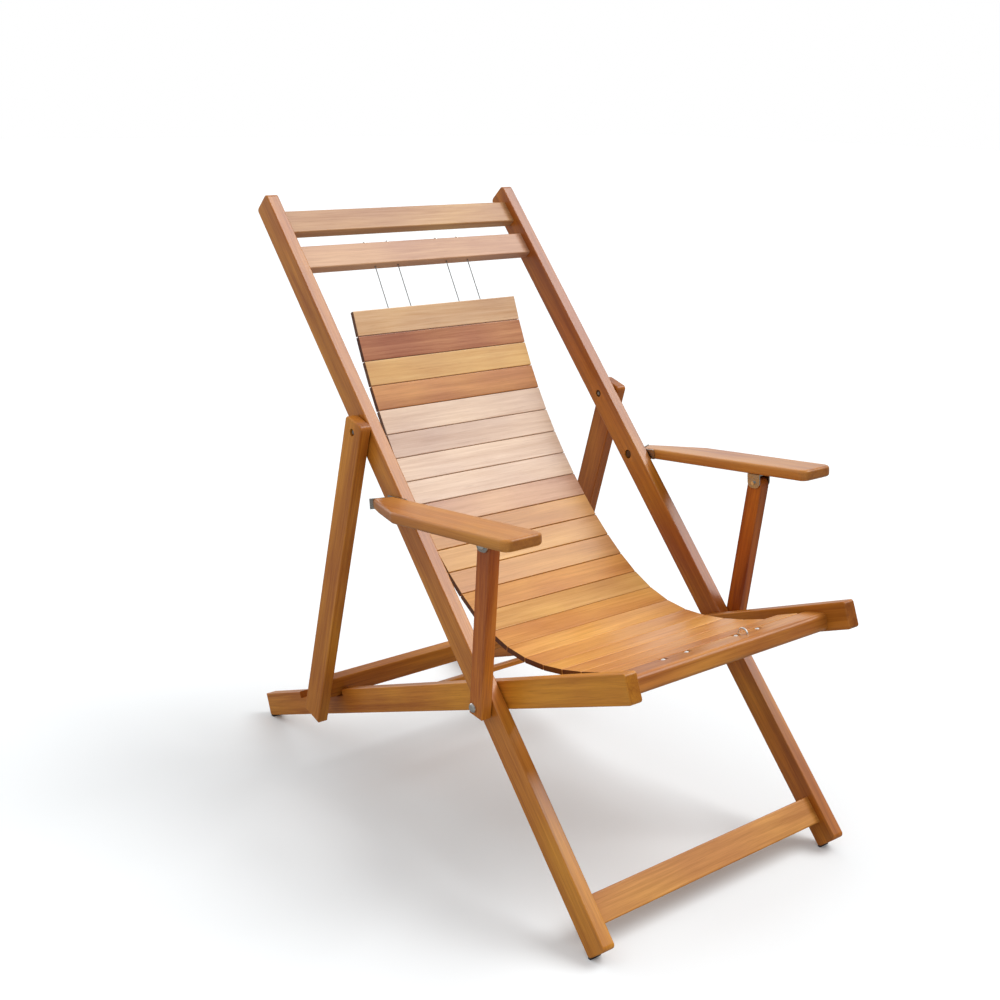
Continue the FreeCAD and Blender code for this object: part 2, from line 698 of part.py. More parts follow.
def front_crossbar():
    """Its rear upper edge has a notch for each bead, and a cable bore that opens into it."""
    body = new_body("front_crossbar")
    sketch = new_sketch(body, "front_crossbar_section")
    draw_outline(sketch, box_points(0.0, 0.0, S["cross_width"], S["cross_depth"]))
    pad(body, sketch, SEAT_INNER * 2)
    front_corners = [(S["cross_width"], 0.0), (S["cross_width"], S["cross_depth"])]
    soften(body, S["cross_round"], at_corner(front_corners))
    soften(body, S["fine_arris"], at_corner([(0.0, 0.0), (0.0, S["cross_depth"])]))
    tenon = new_sketch(body, "front_crossbar_tenons", "XY_Plane", -S["tenon_length"])
    inset = S["tenon_inset"]
    draw_outline(tenon, box_points(inset, inset, S["cross_width"] - inset * 2,
                                   S["cross_depth"] - inset * 2))
    pad(body, tenon, SEAT_INNER * 2 + S["tenon_length"] * 2)
    notches = new_sketch(body, "bead_notches", "XZ_Plane", OUTSIDE)
    for x in cable_places():
        start = SEAT_INNER + x - S["bead_notch"] / 2
        draw_outline(notches, box_points(-OUTSIDE, start, S["bead_notch"] + OUTSIDE, S["bead_notch"]))
    pocket(body, notches, S["bead_notch"] + OUTSIDE, False)
    body.Placement = CROSS.placement(-SEAT_INNER.value)


# The prop frame

def prop_leg(name, side):
    length = S["leg_below_pivot"] + S["leg_above_pivot"]
    body = board("prop_leg_" + name, length, S["leg_depth"], S["leg_thickness"],
                 [(length, 0.0), (length, S["leg_depth"])], S["top_corner"])
    middle_line = S["leg_depth"] / 2
    bore(body, "prop_bore_" + name,
         [(S["leg_below_pivot"], middle_line, S["bolt_radius"] + S["running_gap"])])
    outer_lift = S["leg_thickness"] if side > 0 else 0.0
    bore(body, "prop_recess_" + name, [(S["leg_below_pivot"], middle_line, S["recess_radius"])],
         S["recess_depth"], outer_lift, side < 0)
    inner_lift = 0.0 if side > 0 else S["leg_thickness"]
    sketch = new_sketch(body, "prop_mortise_" + name, "XY_Plane", inner_lift)
    start = val("leg_below_pivot") - STRETCHER_DOWN
    draw_outline(sketch, box_points(*mortise_for(start, S["prop_bar_rear"], S["prop_bar_width"],
                                                 S["prop_bar_thickness"])))
    pocket(body, sketch, S["tenon_length"] + S["mortise_spare"], side > 0)
    body.Placement = PROP.placement(face_at(side, LEG_INNER, S["leg_thickness"]),
                                    -val("leg_below_pivot"), -val("leg_depth") / 2)


def prop_stretcher():
    body = crossbar("prop_stretcher", S["prop_bar_width"], S["prop_bar_thickness"],
                    LEG_INNER * 2, S["arris"])
    body.Placement = PROP.placement(-LEG_INNER.value, -STRETCHER_DOWN,
                                    val("prop_bar_rear") - val("leg_depth") / 2)


# The posts and arms

POST_MIDDLE = LEG_INNER.value + val("leg_thickness") / 2


def post_placement(side):
    """The post leans outwards about the main pivot."""
    corner = POST.at(-val("post_below_pivot"), -val("post_rear"))
    flat = Line(corner, val("post_angle")).placement(face_at(side, LEG_INNER, S["leg_thickness"]))
    pivot = FreeCAD.Vector(side * POST_MIDDLE, MAIN_PIVOT[0], MAIN_PIVOT[1])
    lean = FreeCAD.Rotation(FreeCAD.Vector(0, 1, 0), side * val("post_splay"))
    return FreeCAD.Placement(FreeCAD.Vector(0, 0, 0), lean, pivot).multiply(flat)


def arm_post(name, side):
    length = S["post_below_pivot"] + S["post_height"] + S["post_head"]
    body = board("arm_post_" + name, length, S["post_depth"], S["leg_thickness"],
                 [(length, S["post_depth"])], S["post_depth"] / 2)
    bore(body, "post_bores_" + name, [
        (S["post_below_pivot"], S["post_rear"], S["bolt_radius"] + S["post_slack"]),
        (S["post_below_pivot"] + S["post_height"], S["post_depth"] / 2,
         S["bolt_radius"] + S["post_slack"]),
    ])
    body.Placement = post_placement(side)


def arm_slope():
    """The arm runs from the middle of its rear bolt to its height above the arm hinge."""
    y = ARM_BOLT[0] - ARM_HINGE[0]
    z = ARM_HINGE[1] - ARM_BOLT[1]
    height = val("arm_over_hinge") + val("arm_thickness") / 2
    return math.degrees(math.atan2(z, y) + math.asin(height / math.hypot(y, z)))


ARM_SLOPE = arm_slope()


def arm_placement(side, along=0.0, out=0.0, up=0.0):
    """Local X runs forward along the arm, local Y to the right and local Z up through it."""
    slope = math.radians(ARM_SLOPE)
    forward = FreeCAD.Vector(0, -math.cos(slope), math.sin(slope))
    above = FreeCAD.Vector(0, math.sin(slope), math.cos(slope))
    axes = FreeCAD.Matrix(0, 1, 0, 0, forward.y, 0, above.y, 0,
                          forward.z, 0, above.z, 0, 0, 0, 0, 1)
    spot = FreeCAD.Vector(side * (ARM_INNER.value + out), ARM_BOLT[0], ARM_BOLT[1])
    return FreeCAD.Placement(spot + forward * along + above * up, FreeCAD.Placement(axes).Rotation)


def arm(name, side):
    """A broad board with a tapered tail."""
    body = new_body("arm_" + name)
    sketch = new_sketch(body, "arm_outline_" + name)
    front = S["arm_start"] + S["arm_length"]
    points = [
        (S["arm_start"], 0.0),
        (front, 0.0),
        (front, S["arm_width"] * side),
        (S["arm_taper_start"], S["arm_width"] * side),
        (S["arm_taper_end"], S["arm_taper_width"] * side),
        (-S["arm_tail"], S["arm_tail_width"] * side),
    ]
    draw_outline(sketch, points)
    pad(body, sketch, S["arm_thickness"])
    soften(body, S["arm_front_round"], at_corner([points[1], points[2]]))
    soften(body, S["arm_taper_round"], at_corner([points[3], points[4]]))
    soften(body, S["arm_tail_round"], at_corner([points[0], points[5]]))
    soften(body, S["arm_round"], lies_flat)
    body.Placement = arm_placement(side, up=-val("arm_thickness") / 2)


def hinge_on_arm():
    """How far forward of the rear bolt the arm hinge is, along the arm."""
    slope = math.radians(ARM_SLOPE)
    y = ARM_BOLT[0] - ARM_HINGE[0]
    z = ARM_HINGE[1] - ARM_BOLT[1]
    return y * math.cos(slope) + z * math.sin(slope)


def post_middle_at_hinge():
    """The middle of the leaning post at the height of the arm hinge, across the chair."""
    return POST_MIDDLE + (ARM_HINGE[1] - MAIN_PIVOT[1]) * math.tan(LEAN)


def arm_clevis(name, side):
    """A bent strap screwed under the arm, with a cheek on each side of the post."""
    body = new_body("arm_clevis_" + name)
    inside = S["leg_thickness"] / 2 + S["strap_gap"]
    half = inside + S["strap_thickness"]
    drop = S["arm_over_hinge"] + S["strap_below_hinge"]
    sketch = new_sketch(body, "clevis_section_" + name, "YZ_Plane")
    draw_outline(sketch, [
        (-half, 0.0), (-half, -drop), (-inside, -drop), (-inside, -S["strap_thickness"]),
        (inside, -S["strap_thickness"]), (inside, -drop), (half, -drop), (half, 0.0),
    ])
    pad(body, sketch, S["strap_width"])

    def cheek_corner(edge):
        return abs(direction(edge).y) > 0.99 and middle(edge).z < -drop.value + 0.5

    soften(body, S["strap_corner"], cheek_corner)
    bore(body, "clevis_bore_" + name,
         [(S["strap_width"] / 2, -S["arm_over_hinge"], S["bolt_radius"] + S["running_gap"])],
         None, half, False, "XZ_Plane")
    start = hinge_on_arm() - val("strap_width") / 2
    out = post_middle_at_hinge() - ARM_INNER.value
    body.Placement = arm_placement(side, start, out, -val("arm_thickness") / 2)


def arm_bracket(name, side):
    """A leaf beside the long rail, with a flange bent across the tail of the arm."""
    body = new_body("arm_bracket_" + name)
    thick = S["leaf_thickness"]
    run = val("arm_start") + val("arm_tail")
    rise = val("arm_tail_width")
    reach = math.hypot(run, rise)
    off = (-rise / reach * thick.value, -run / reach * thick.value)
    meet = val("arm_start") + off[0] + off[1] * run / rise
    past = val("leaf_past_tip") / reach
    tip = (-val("arm_tail") - run * past, rise + rise * past)
    rear = -S["leaf_behind_bolt"]
    sketch = new_sketch(body, "bracket_outline_" + name)
    points = [
        (rear, -thick), (S["leaf_length"], -thick), (S["leaf_length"], 0.0), (S["arm_start"], 0.0),
        tip, (tip[0] + off[0], tip[1] + off[1]), (meet, 0.0), (rear, 0.0),
    ]
    draw_outline(sketch, [(x, y * side) for x, y in points])
    pad(body, sketch, S["leaf_height"])
    bore(body, "bracket_bore_" + name,
         [(0.0, S["leaf_height"] / 2, S["bolt_radius"] + S["running_gap"])],
         thick + OUTSIDE * 2, (thick + OUTSIDE) * side, side < 0, "XZ_Plane")
    body.Placement = arm_placement(side, up=-val("leaf_height") / 2)


# Turned steel pieces, each the same on both sides

def turned(label, place, outlines, dome=None):
    """Rings and bolts about an axis across the chair. Each outline is a list of (x, radius)."""
    body = new_body(label, pair=True)
    features = []
    for index, outline in enumerate(outlines):
        sketch = new_sketch(body, "%s_profile_%d" % (label, index + 1))
        draw_outline(sketch, outline)
        features.append(spin(body, sketch))
    if dome:
        x, radius, size = dome

        def rim(edge):
            spot = edge.BoundBox
            flat = spot.XLength < 1e-6 and abs(spot.XMax - number(x)) < 1e-3
            return flat and abs(spot.ZLength / 2 - number(radius)) < 1e-3

        features.append(soften(body, size, rim))
    mirror(body, features[:1] if dome is None else features)
    body.Placement = FreeCAD.Placement(FreeCAD.Vector(0, place[0], place[1]), FreeCAD.Rotation())
    return body


def ring(start, end, inner, outer):
    return [(start, inner), (end, inner), (end, outer), (start, outer)]


def bolt_profile(tail, seat, radius, head_radius, head_height):
    """A bolt from its tail to the underside of its head; a negative height turns it round."""
    return [(tail, 0.0), (seat + head_height, 0.0), (seat + head_height, head_radius),
            (seat, head_radius), (seat, radius), (tail, radius)]


def pivot_hardware():
    radius = S["bolt_radius"]
    head = S["head_radius"]
    high = S["head_height"]
    dome = high - S["head_rim"]
    seat = LEG_OUTER + S["post_slack"]
    nut_face = SEAT_INNER - S["post_slack"]
    tail = nut_face - S["nut_height"] - S["bolt_tail"]
    turned("main_pivot_bolts", MAIN_PIVOT, [bolt_profile(tail, seat, radius, head, high)],
           (seat + high, head, dome))
    turned("main_pivot_nuts", MAIN_PIVOT,
           [ring(nut_face - S["nut_height"], nut_face, radius, S["pivot_nut_radius"])])
    gap = (S["side_gap"] - S["washer_thickness"]) / 2
    turned("main_pivot_washers", MAIN_PIVOT,
           [ring(SEAT_OUTER + gap, LONG_INNER - gap, radius, S["washer_radius"])])
    turned("prop_pivot_washers", PROP_PIVOT,
           [ring(LONG_OUTER + gap, LEG_INNER - gap, radius, S["washer_radius"])])
    prop_head = S["prop_head_radius"]
    prop_seat = LEG_OUTER - S["recess_depth"] + S["recess_gap"]
    prop_tail = LONG_INNER + S["sink_cover"]
    turned("prop_pivot_bolts", PROP_PIVOT,
           [bolt_profile(prop_tail, prop_seat, radius, prop_head, high)],
           (prop_seat + high, prop_head, dome))
    nut_start = prop_tail + S["bolt_tail"]
    turned("prop_pivot_nuts", PROP_PIVOT,
           [ring(nut_start, nut_start + S["nut_height"], radius, S["pivot_nut_radius"])])
    arm_tail = ARM_INNER + S["nut_height"] + S["bolt_tail"]
    crown = LONG_INNER + S["sink_cover"]
    turned("arm_rear_bolts", ARM_BOLT,
           [bolt_profile(arm_tail, crown + high, radius, head, -high)], (crown, head, dome))
    turned("arm_rear_nuts", ARM_BOLT,
           [ring(ARM_INNER, ARM_INNER + S["nut_height"], radius, S["nut_radius"])])
    middle_x = post_middle_at_hinge()
    cheek = S["leg_thickness"] / 2 + S["strap_gap"] + S["strap_thickness"]
    hinge_head = S["hinge_head_radius"]
    turned("arm_hinge_bolts", ARM_HINGE,
           [bolt_profile(middle_x - cheek - S["hinge_bolt_tail"], middle_x + cheek, radius,
                         hinge_head, high)],
           (middle_x + cheek + high, hinge_head, high - S["hinge_head_rim"]))


# The slats and their cables

def curtain_points():
    """Points of the curtain in the side view, at the middle of its thickness. The first is where
    the cables leave the cable bar, then the upper edge of each slat, and the last the lower edge
    of the last slat. The slope of the back and the bend at the seat are found so that the
    curtain ends at the front crossbar."""
    start = LONG.at(CABLE_BAR_PLACE.value, val("bar_front") - val("bar_thickness") / 2)
    half = val("slat_thickness") / 2
    goal = CROSS.at(-val("front_gap"), half)
    chord = math.hypot(goal[0] - start[0], goal[1] - start[1])
    whole = chord + val("curtain_extra") + val("slat_gap")
    count = int(round((whole - val("free_cable")) / val("slat_pitch")))
    free = whole - count * val("slat_pitch")

    def trace(top, bend):
        cable = math.radians(val("free_cable_angle"))
        y = start[0] - free * math.cos(cable)
        z = start[1] - free * math.sin(cable)
        points = [start, (y, z)]
        slopes = []
        for index in range(count):
            share = 1 / (1 + math.exp((count - BEND_FROM_END - index) / BEND_SPREAD))
            slope = math.radians(top - BACK_CURL * index - bend * share)
            length = val("slat_pitch")
            if index == count - 1:
                length -= val("slat_gap")
            y -= length * math.cos(slope)
            z -= length * math.sin(slope)
            points.append((y, z))
            slopes.append(math.degrees(slope))
        return points, slopes

    top = BACK_SLOPE
    bend = BEND_START
    for _ in range(STEPS):
        end = trace(top, bend)[0][-1]
        miss = (goal[0] - end[0], goal[1] - end[1])
        by_top = trace(top + NUDGE, bend)[0][-1]
        by_bend = trace(top, bend + NUDGE)[0][-1]
        a = (by_top[0] - end[0]) / NUDGE
        b = (by_bend[0] - end[0]) / NUDGE
        c = (by_top[1] - end[1]) / NUDGE
        d = (by_bend[1] - end[1]) / NUDGE
        size = a * d - b * c
        top += (d * miss[0] - b * miss[1]) / size
        bend += (a * miss[1] - c * miss[0]) / size
    points, slopes = trace(top, bend)
    return points, slopes, top, bend


CURTAIN, SLOPES, TOP_SLOPE, SEAT_BEND = curtain_points()


def slat(index):
    """Its local X runs down the curtain and its local Y points away from the sitter."""
    label = "slat_%02d" % (index + 1)
    length = S["last_slat_length"] if index == len(SLOPES) - 1 else S["slat_length"]
    body = new_body(label)
    sketch = new_sketch(body, label + "_section")
    width = S["slat_pitch"] - S["slat_gap"]
    draw_outline(sketch, box_points(0.0, 0.0, width, S["slat_thickness"]))
    pad(body, sketch, length)
    soften(body, S["slat_round"], upright)
    soften(body, S["slat_round"] / 2, lies_flat)
    middle_line = S["slat_thickness"] / 2
    spots = [(middle_line, length / 2 + x, S["cable_hole"]) for x in cable_places()]
    bore(body, label + "_bores", spots, None, 0.0, True, "YZ_Plane")
    line = Line(CURTAIN[index + 1], 180.0 + SLOPES[index])
    body.Placement = line.placement(-length.value / 2, 0.0, -val("slat_thickness") / 2)


def cable_route():
    """Straight runs between the hinge points, from above the cable bar to inside the crossbar."""
    above = LONG.at(CABLE_BAR_PLACE.value + val("bar_width") + val("cable_tail"),
                    val("bar_front") - val("bar_thickness") / 2)
    inside = CROSS.at(val("cable_tail"), val("slat_thickness") / 2)
    return [above] + CURTAIN + [inside]


def cable(label, x):
    """A steel cable of round section along its route, with a small arc at each bend."""
    points = [FreeCAD.Vector(number(x), y, z) for y, z in cable_route()]
    edges = []
    last = points[0]
    radii = []
    for before, here, after in zip(points, points[1:], points[2:]):
        back = before.sub(here)
        ahead = after.sub(here)
        turn = math.pi - back.getAngle(ahead)
        run = min(back.Length, ahead.Length)
        reach = run * (SHORT_SHARE if run < SHORT_RUN else BEND_SHARE)
        start = here + back.normalize() * reach
        end = here + ahead.normalize() * reach
        radii.append(reach / math.tan(turn / 2))
        bisector = (start + end) * 0.5 - here
        depth = radii[-1] * (1 / math.cos(turn / 2) - 1)
        crown = here + bisector.normalize() * depth
        edges.append(Part.LineSegment(last, start).toShape())
        edges.append(Part.Arc(start, crown, end).toShape())
        last = end
    edges.append(Part.LineSegment(last, points[-1]).toShape())
    path = Part.Wire(edges)
    ring_shape = Part.Circle(points[0], points[1].sub(points[0]), val("cable_radius")).toShape()
    solid = path.makePipeShell([Part.Wire([ring_shape])], True, False)
    feature = doc.addObject("Part::Feature", label)
    feature.Label = label
    feature.Shape = solid
    section = math.pi * val("cable_radius") ** 2
    print("%s: length %.1f, volume over section %.1f, least radius %.0f"
          % (label, path.Length, solid.Volume / section, min(radii)))
    return feature


def threaded(name, outside, length, place, line):
    """A bead or sleeve with a bore for its cable, along a line in the side view."""
    core = doc.addObject("Part::Cylinder", name + "_bore")
    core.setExpression("Radius", wording(S["cable_radius"] + S["running_gap"]))
    core.setExpression("Height", wording(length))
    piece = doc.addObject("Part::Cut", name)
    piece.Base = outside
    piece.Tool = core
    along = FreeCAD.Vector(0, line.along[0], line.along[1])
    turn = FreeCAD.Rotation(FreeCAD.Vector(0, 0, 1), along)
    piece.Placement = FreeCAD.Placement(place, turn)
    return piece


def cable_stops():
    """Steel beads in the notches of the front crossbar, and sleeves above the cable bar."""
    beads = []
    sleeves = []
    half = val("slat_thickness") / 2
    in_notch = CROSS.at(val("bead_notch") / 2 - val("bead_radius"), half)
    bar_middle = val("bar_front") - val("bar_thickness") / 2
    above_bar = LONG.at(CABLE_BAR_PLACE.value + val("bar_width"), bar_middle)
    for index, x in enumerate(cable_places()):
        ball = doc.addObject("Part::Sphere", "bead_%d_ball" % (index + 1))
        ball.setExpression("Radius", wording(S["bead_radius"]))
        ball.Placement.Base = FreeCAD.Vector(0, 0, val("bead_radius"))
        spot = FreeCAD.Vector(number(x), in_notch[0], in_notch[1])
        beads.append(threaded("bead_%d" % (index + 1), ball, S["bead_radius"] * 2, spot, CROSS))
        tube = doc.addObject("Part::Cylinder", "sleeve_%d_tube" % (index + 1))
        tube.setExpression("Radius", wording(S["sleeve_radius"]))
        tube.setExpression("Height", wording(S["sleeve_length"]))
        spot = FreeCAD.Vector(number(x), above_bar[0], above_bar[1])
        sleeves.append(threaded("sleeve_%d" % (index + 1), tube, S["sleeve_length"], spot, LONG))
    group("cable_beads", beads)
    group("cable_sleeves", sleeves)


def group(label, members):
    """Like pieces in one node, each a solid of its own."""
    feature = doc.addObject("Part::Compound", label)
    feature.Label = label
    feature.Links = members
    return feature


def cable_eye():
    """A bent wire eye that stands on the rear edge of the front crossbar, beside an outer cable."""
    eye = doc.addObject("Part::Torus", "cable_eye")
    eye.Label = "cable_eye"
    eye.setExpression("Radius1", wording(S["eye_radius"]))
    eye.setExpression("Radius2", wording(S["eye_wire"]))
    eye.Angle3 = 180.0
    along = CROSS.along
    axes = FreeCAD.Matrix(0, 0, -1, 0, along[0], -CROSS.across[0], 0, 0,
                          along[1], -CROSS.across[1], 0, 0, 0, 0, 0, 1)
    spot = CROSS.at(val("eye_radius") + val("eye_wire") + val("eye_inset"), 0.0)
    x = val("cable_outer") - val("eye_beside_cable")
    eye.Placement = FreeCAD.Placement(FreeCAD.Vector(x, spot[0], spot[1]),
                                      FreeCAD.Placement(axes).Rotation)


# Rubber pads under the four feet

def foot_pads(label, corner, slope, inner, sign):
    """A block of rubber that fills the cut corner of each foot down to the floor. The rail rises
    along +Y for sign 1."""
    cut = val("foot_cut")
    lean = math.tan(math.radians(slope))
    ends = sorted((corner + sign * cut / lean, corner - sign * cut * lean))
    width = ends[1] - ends[0] - 2 * val("pad_end")
    half = S["rail_thickness"] / 2 - S["pad_overhang"]
    pads = []
    for name, side in both_sides():
        block = doc.addObject("Part::Box", "%s_%s" % (label, name))
        block.setExpression("Length", wording(half * 2))
        block.Width = width
        block.setExpression("Height", wording(S["foot_cut"]))
        x = side * (number(inner) + val("rail_thickness") / 2) - half.value
        spot = FreeCAD.Vector(x, ends[0] + val("pad_end"), 0)
        block.Placement = FreeCAD.Placement(spot, FreeCAD.Rotation())
        pads.append(block)
    group(label, pads)


def build_chair():
    for name, side in both_sides():
        long_rail(name, side)
        seat_rail(name, side)
        prop_leg(name, side)
        arm_post(name, side)
        arm(name, side)
        arm_clevis(name, side)
        arm_bracket(name, side)
    long_crossbars()
    seat_batten()
    front_crossbar()
    prop_stretcher()
    pivot_hardware()
    for index in range(len(SLOPES)):
        slat(index)
    for index, x in enumerate(cable_places()):
        cable("steel_cable_%d" % (index + 1), x)
    cable_stops()
    cable_eye()
    foot_pads("front_foot_pads", LONG.origin[0], val("long_rail_angle"), LONG_INNER, 1)
    foot_pads("rear_foot_pads", SEAT.origin[0], SEAT_RAIL_ANGLE, SEAT_INNER, -1)


def sub_parts():
    """Every object that nothing else uses: the finished pieces."""
    used = set()
    for item in doc.Objects:
        if item.TypeId == "Part::Cut":
            used.update([item.Base.Name, item.Tool.Name])
        if item.TypeId == "Part::Compound":
            used.update(link.Name for link in item.Links)
    kinds = ("PartDesign::Body", "Part::Compound", "Part::Feature", "Part::Torus")
    return [item for item in doc.Objects if item.TypeId in kinds and item.Name not in used]


def check_and_write():
    doc.recompute()
    for item in doc.Objects:
        bad = [word for word in item.State if word in ("Invalid", "Error")]
        if bad:
            raise RuntimeError("%s is %s" % (item.Name, bad))
    pieces = sub_parts()
    for piece in pieces:
        if piece.Shape.isNull() or not piece.Shape.isValid():
            raise RuntimeError("%s has no valid shape" % piece.Label)
    os.makedirs("parts", exist_ok=True)
    for piece in pieces:
        piece.Shape.exportStep(os.path.join("parts", piece.Label + ".step"))
    print("%d pieces written" % len(pieces))


build_chair()
check_and_write()
print("main pivot", MAIN_PIVOT)
print("prop pivot", PROP_PIVOT)
print("curtain", CURTAIN)
print("seat rail angle", SEAT_RAIL_ANGLE, "arm slope", ARM_SLOPE, "curtain", TOP_SLOPE, SEAT_BEND)
print("stretcher below the prop pivot", STRETCHER_DOWN, "notch", NOTCH_START)
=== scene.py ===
"""A steamer deck chair in varnished hardwood, open, on a pale studio floor.

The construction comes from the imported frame. This script gives it its finishes and makes the steel
cables that the slats hang on. Lengths are in metres.
"""
import json
import math

import bpy
from mathutils import Matrix, Vector


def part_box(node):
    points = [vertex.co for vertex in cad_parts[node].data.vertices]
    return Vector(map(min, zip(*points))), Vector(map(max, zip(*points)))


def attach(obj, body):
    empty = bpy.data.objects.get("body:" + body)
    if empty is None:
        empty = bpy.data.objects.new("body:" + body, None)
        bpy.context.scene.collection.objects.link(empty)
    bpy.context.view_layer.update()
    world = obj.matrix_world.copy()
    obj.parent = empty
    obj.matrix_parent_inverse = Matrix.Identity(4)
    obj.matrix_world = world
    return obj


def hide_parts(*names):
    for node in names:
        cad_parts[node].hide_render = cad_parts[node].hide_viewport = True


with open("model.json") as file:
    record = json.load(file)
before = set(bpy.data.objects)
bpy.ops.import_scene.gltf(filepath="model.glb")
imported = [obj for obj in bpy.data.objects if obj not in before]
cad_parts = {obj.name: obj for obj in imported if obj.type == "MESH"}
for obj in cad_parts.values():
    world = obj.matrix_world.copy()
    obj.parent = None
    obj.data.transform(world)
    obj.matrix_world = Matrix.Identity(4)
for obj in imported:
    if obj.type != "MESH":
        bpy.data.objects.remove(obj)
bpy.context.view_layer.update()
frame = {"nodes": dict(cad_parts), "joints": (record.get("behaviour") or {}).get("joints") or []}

bl_info = {
    "name": "Steamer Deck Chair",
    "version": (1, 0, 0),
    "blender": (4, 5, 0),
    "location": "View3D > Sidebar > Deck Chair",
    "description": "Finishes a folding hardwood deck chair and sets it on a studio floor",
    "category": "Object",
}

SIDES = ("left", "right")

# The rise of each board's grain from the horizontal, in the side view, in degrees.
LONG_RAIL_RISE = 47.3
SEAT_RAIL_RISE = -21.83
PROP_LEG_RISE = 105.6
POST_RISE = 95.5
ARM_RISE = -6.13
ACROSS = None

# A tone is the colour of the pale growth and that of the dark growth. The slats are sawn from boards
# of different tones. The cream tone also holds a painted sheen: it is paler and pinker than the
# wood, standing in for a whitish reflection on slats 5 to 8.
BOARD_TONES = {
    "pale": ((0.94, 0.66, 0.40), (0.72, 0.43, 0.21)),
    # Painted sheen: this tone is wood paled and pinked by a reflection that is painted into its
    # colour.
    "cream_with_painted_sheen": ((0.82, 0.61, 0.46), (0.62, 0.41, 0.28)),
    "peach": ((0.74, 0.44, 0.26), (0.56, 0.30, 0.155)),
    "gold": ((0.86, 0.55, 0.23), (0.66, 0.34, 0.11)),
    "orange": ((0.66, 0.32, 0.10), (0.48, 0.21, 0.055)),
    "amber": ((0.74, 0.40, 0.13), (0.54, 0.245, 0.055)),
    "honey": ((0.72, 0.32, 0.07), (0.50, 0.19, 0.030)),
    "sunny": ((0.82, 0.39, 0.10), (0.58, 0.23, 0.042)),
    "brown": ((0.70, 0.31, 0.095), (0.44, 0.16, 0.035)),
    "red": ((0.66, 0.31, 0.15), (0.38, 0.13, 0.055)),
}
SLAT_BOARDS = ("pale", "red", "gold", "brown", *["cream_with_painted_sheen"] * 4, "peach", "orange", "amber", "orange",
               "honey", "amber", *["sunny"] * 7)
SLAT_COUNT = len(SLAT_BOARDS)

# The long rails have the thickest varnish. The far, right side of the frame lies in shade, and its
# tones are darker and redder: painted shade.
LONG_RAIL_GLOSS = 0.8
SHADED_SIDE = "right"
PAINTED_SHADE_RAIL_TONES = {
    "long_rail": ((0.57, 0.185, 0.016), (0.31, 0.083, 0.005)),
    "seat_rail": ((0.54, 0.185, 0.020), (0.30, 0.085, 0.006)),
    "prop_leg": ((0.52, 0.160, 0.018), (0.29, 0.075, 0.005)),
}
ARM_TONE = ((0.57, 0.225, 0.040), (0.36, 0.12, 0.02))
# The right post's darker, redder tone is painted shade, because that post stands in shade on the far
# side.
POST_TONES_WITH_PAINTED_SHADE = {
    "left": ((0.68, 0.225, 0.026), (0.32, 0.072, 0.006)),
    "right": ((0.50, 0.130, 0.008), (0.24, 0.045, 0.003)),
}

# These bars have tones of their own, and the plain bars have the frame's.
CROSSBAR_TONES = {
    "top_bar": ((0.68, 0.40, 0.17), (0.48, 0.23, 0.08)),
    "cable_bar": ((0.62, 0.34, 0.19), (0.46, 0.22, 0.12)),
    "front_foot_stretcher": ((0.66, 0.28, 0.065), (0.42, 0.145, 0.022)),
    "front_crossbar": ((0.61, 0.235, 0.038), (0.34, 0.105, 0.012)),
}
PLAIN_BARS = ("seat_batten", "prop_stretcher")

# Cut ends and pores drink more varnish, so their colour is multiplied by these. The edge says how
# squarely a face has to look along the grain to be a cut end.
END_TINT = (0.72, 0.66, 0.5)
SLAT_END_TINT = (0.20, 0.13, 0.10)
PORE_TINT = (0.45, 0.36, 0.3)
CUT_END_EDGE = (0.75, 0.97)

# Each kind of board starts at a seed of its own, so that no two boards have the same figure. The
# strides are how far one step of the seed moves the figure along X, Y and Z.
RAIL_SEED = 2.0
CROSSBAR_SEED = 20.0
ARM_SEED = 31.0
POST_SEED = 35.0
SLAT_SEED = 50.0
SLAT_SEED_STEP = 1.3
SEED_STRIDES = (1.7, 3.1, 2.3)

# A steel is its colour, its lowest and highest roughness, and the scale of its wear. Worn spots
# have its colour times the worn shade.
STEELS = {
    "bright_steel": ((0.88, 0.87, 0.84), 0.10, 0.24, (300.0, 300.0, 300.0)),
    "brushed_steel": ((0.56, 0.55, 0.52), 0.16, 0.36, (80.0, 80.0, 900.0)),
    "dull_steel": ((0.36, 0.35, 0.33), 0.26, 0.42, (300.0, 300.0, 300.0)),
    "bronzed_steel": ((0.16, 0.09, 0.05), 0.30, 0.45, (300.0, 300.0, 300.0)),
    "plated_steel": ((0.92, 0.91, 0.89), 0.40, 0.55, (300.0, 300.0, 300.0)),
    "cable_steel": ((0.45, 0.44, 0.43), 0.35, 0.50, (400.0, 400.0, 400.0)),
}
WORN_SHADE = 0.8
FITTINGS = {
    "bright_steel": ("main_pivot_bolts", "main_pivot_nuts", "main_pivot_washers",
                     "prop_pivot_washers", "arm_rear_nuts", "arm_hinge_bolts", "cable_sleeves"),
    "brushed_steel": ("arm_clevis_left", "arm_clevis_right", "arm_bracket_left",
                      "arm_bracket_right"),
    "dull_steel": ("prop_pivot_bolts",),
    "bronzed_steel": ("prop_pivot_nuts", "arm_rear_bolts"),
    "plated_steel": ("cable_beads", "cable_eye"),
}
RUBBER_COLOR = (0.018, 0.017, 0.017)
DUST_COLOR = (0.06, 0.055, 0.05)

# A cable's outline has a groove at every fourth of its corners. A length of more than a few turns
# is twisted, and a shorter one stays straight.
CABLE_COUNT = 4
CABLE_CORNERS = 24
GROOVE_SPACING = 4
GROOVE_FACTOR = 0.8
LEAST_TURNS = 6
STEPS_PER_TURN = 10
STRAIGHT_STEPS = 2

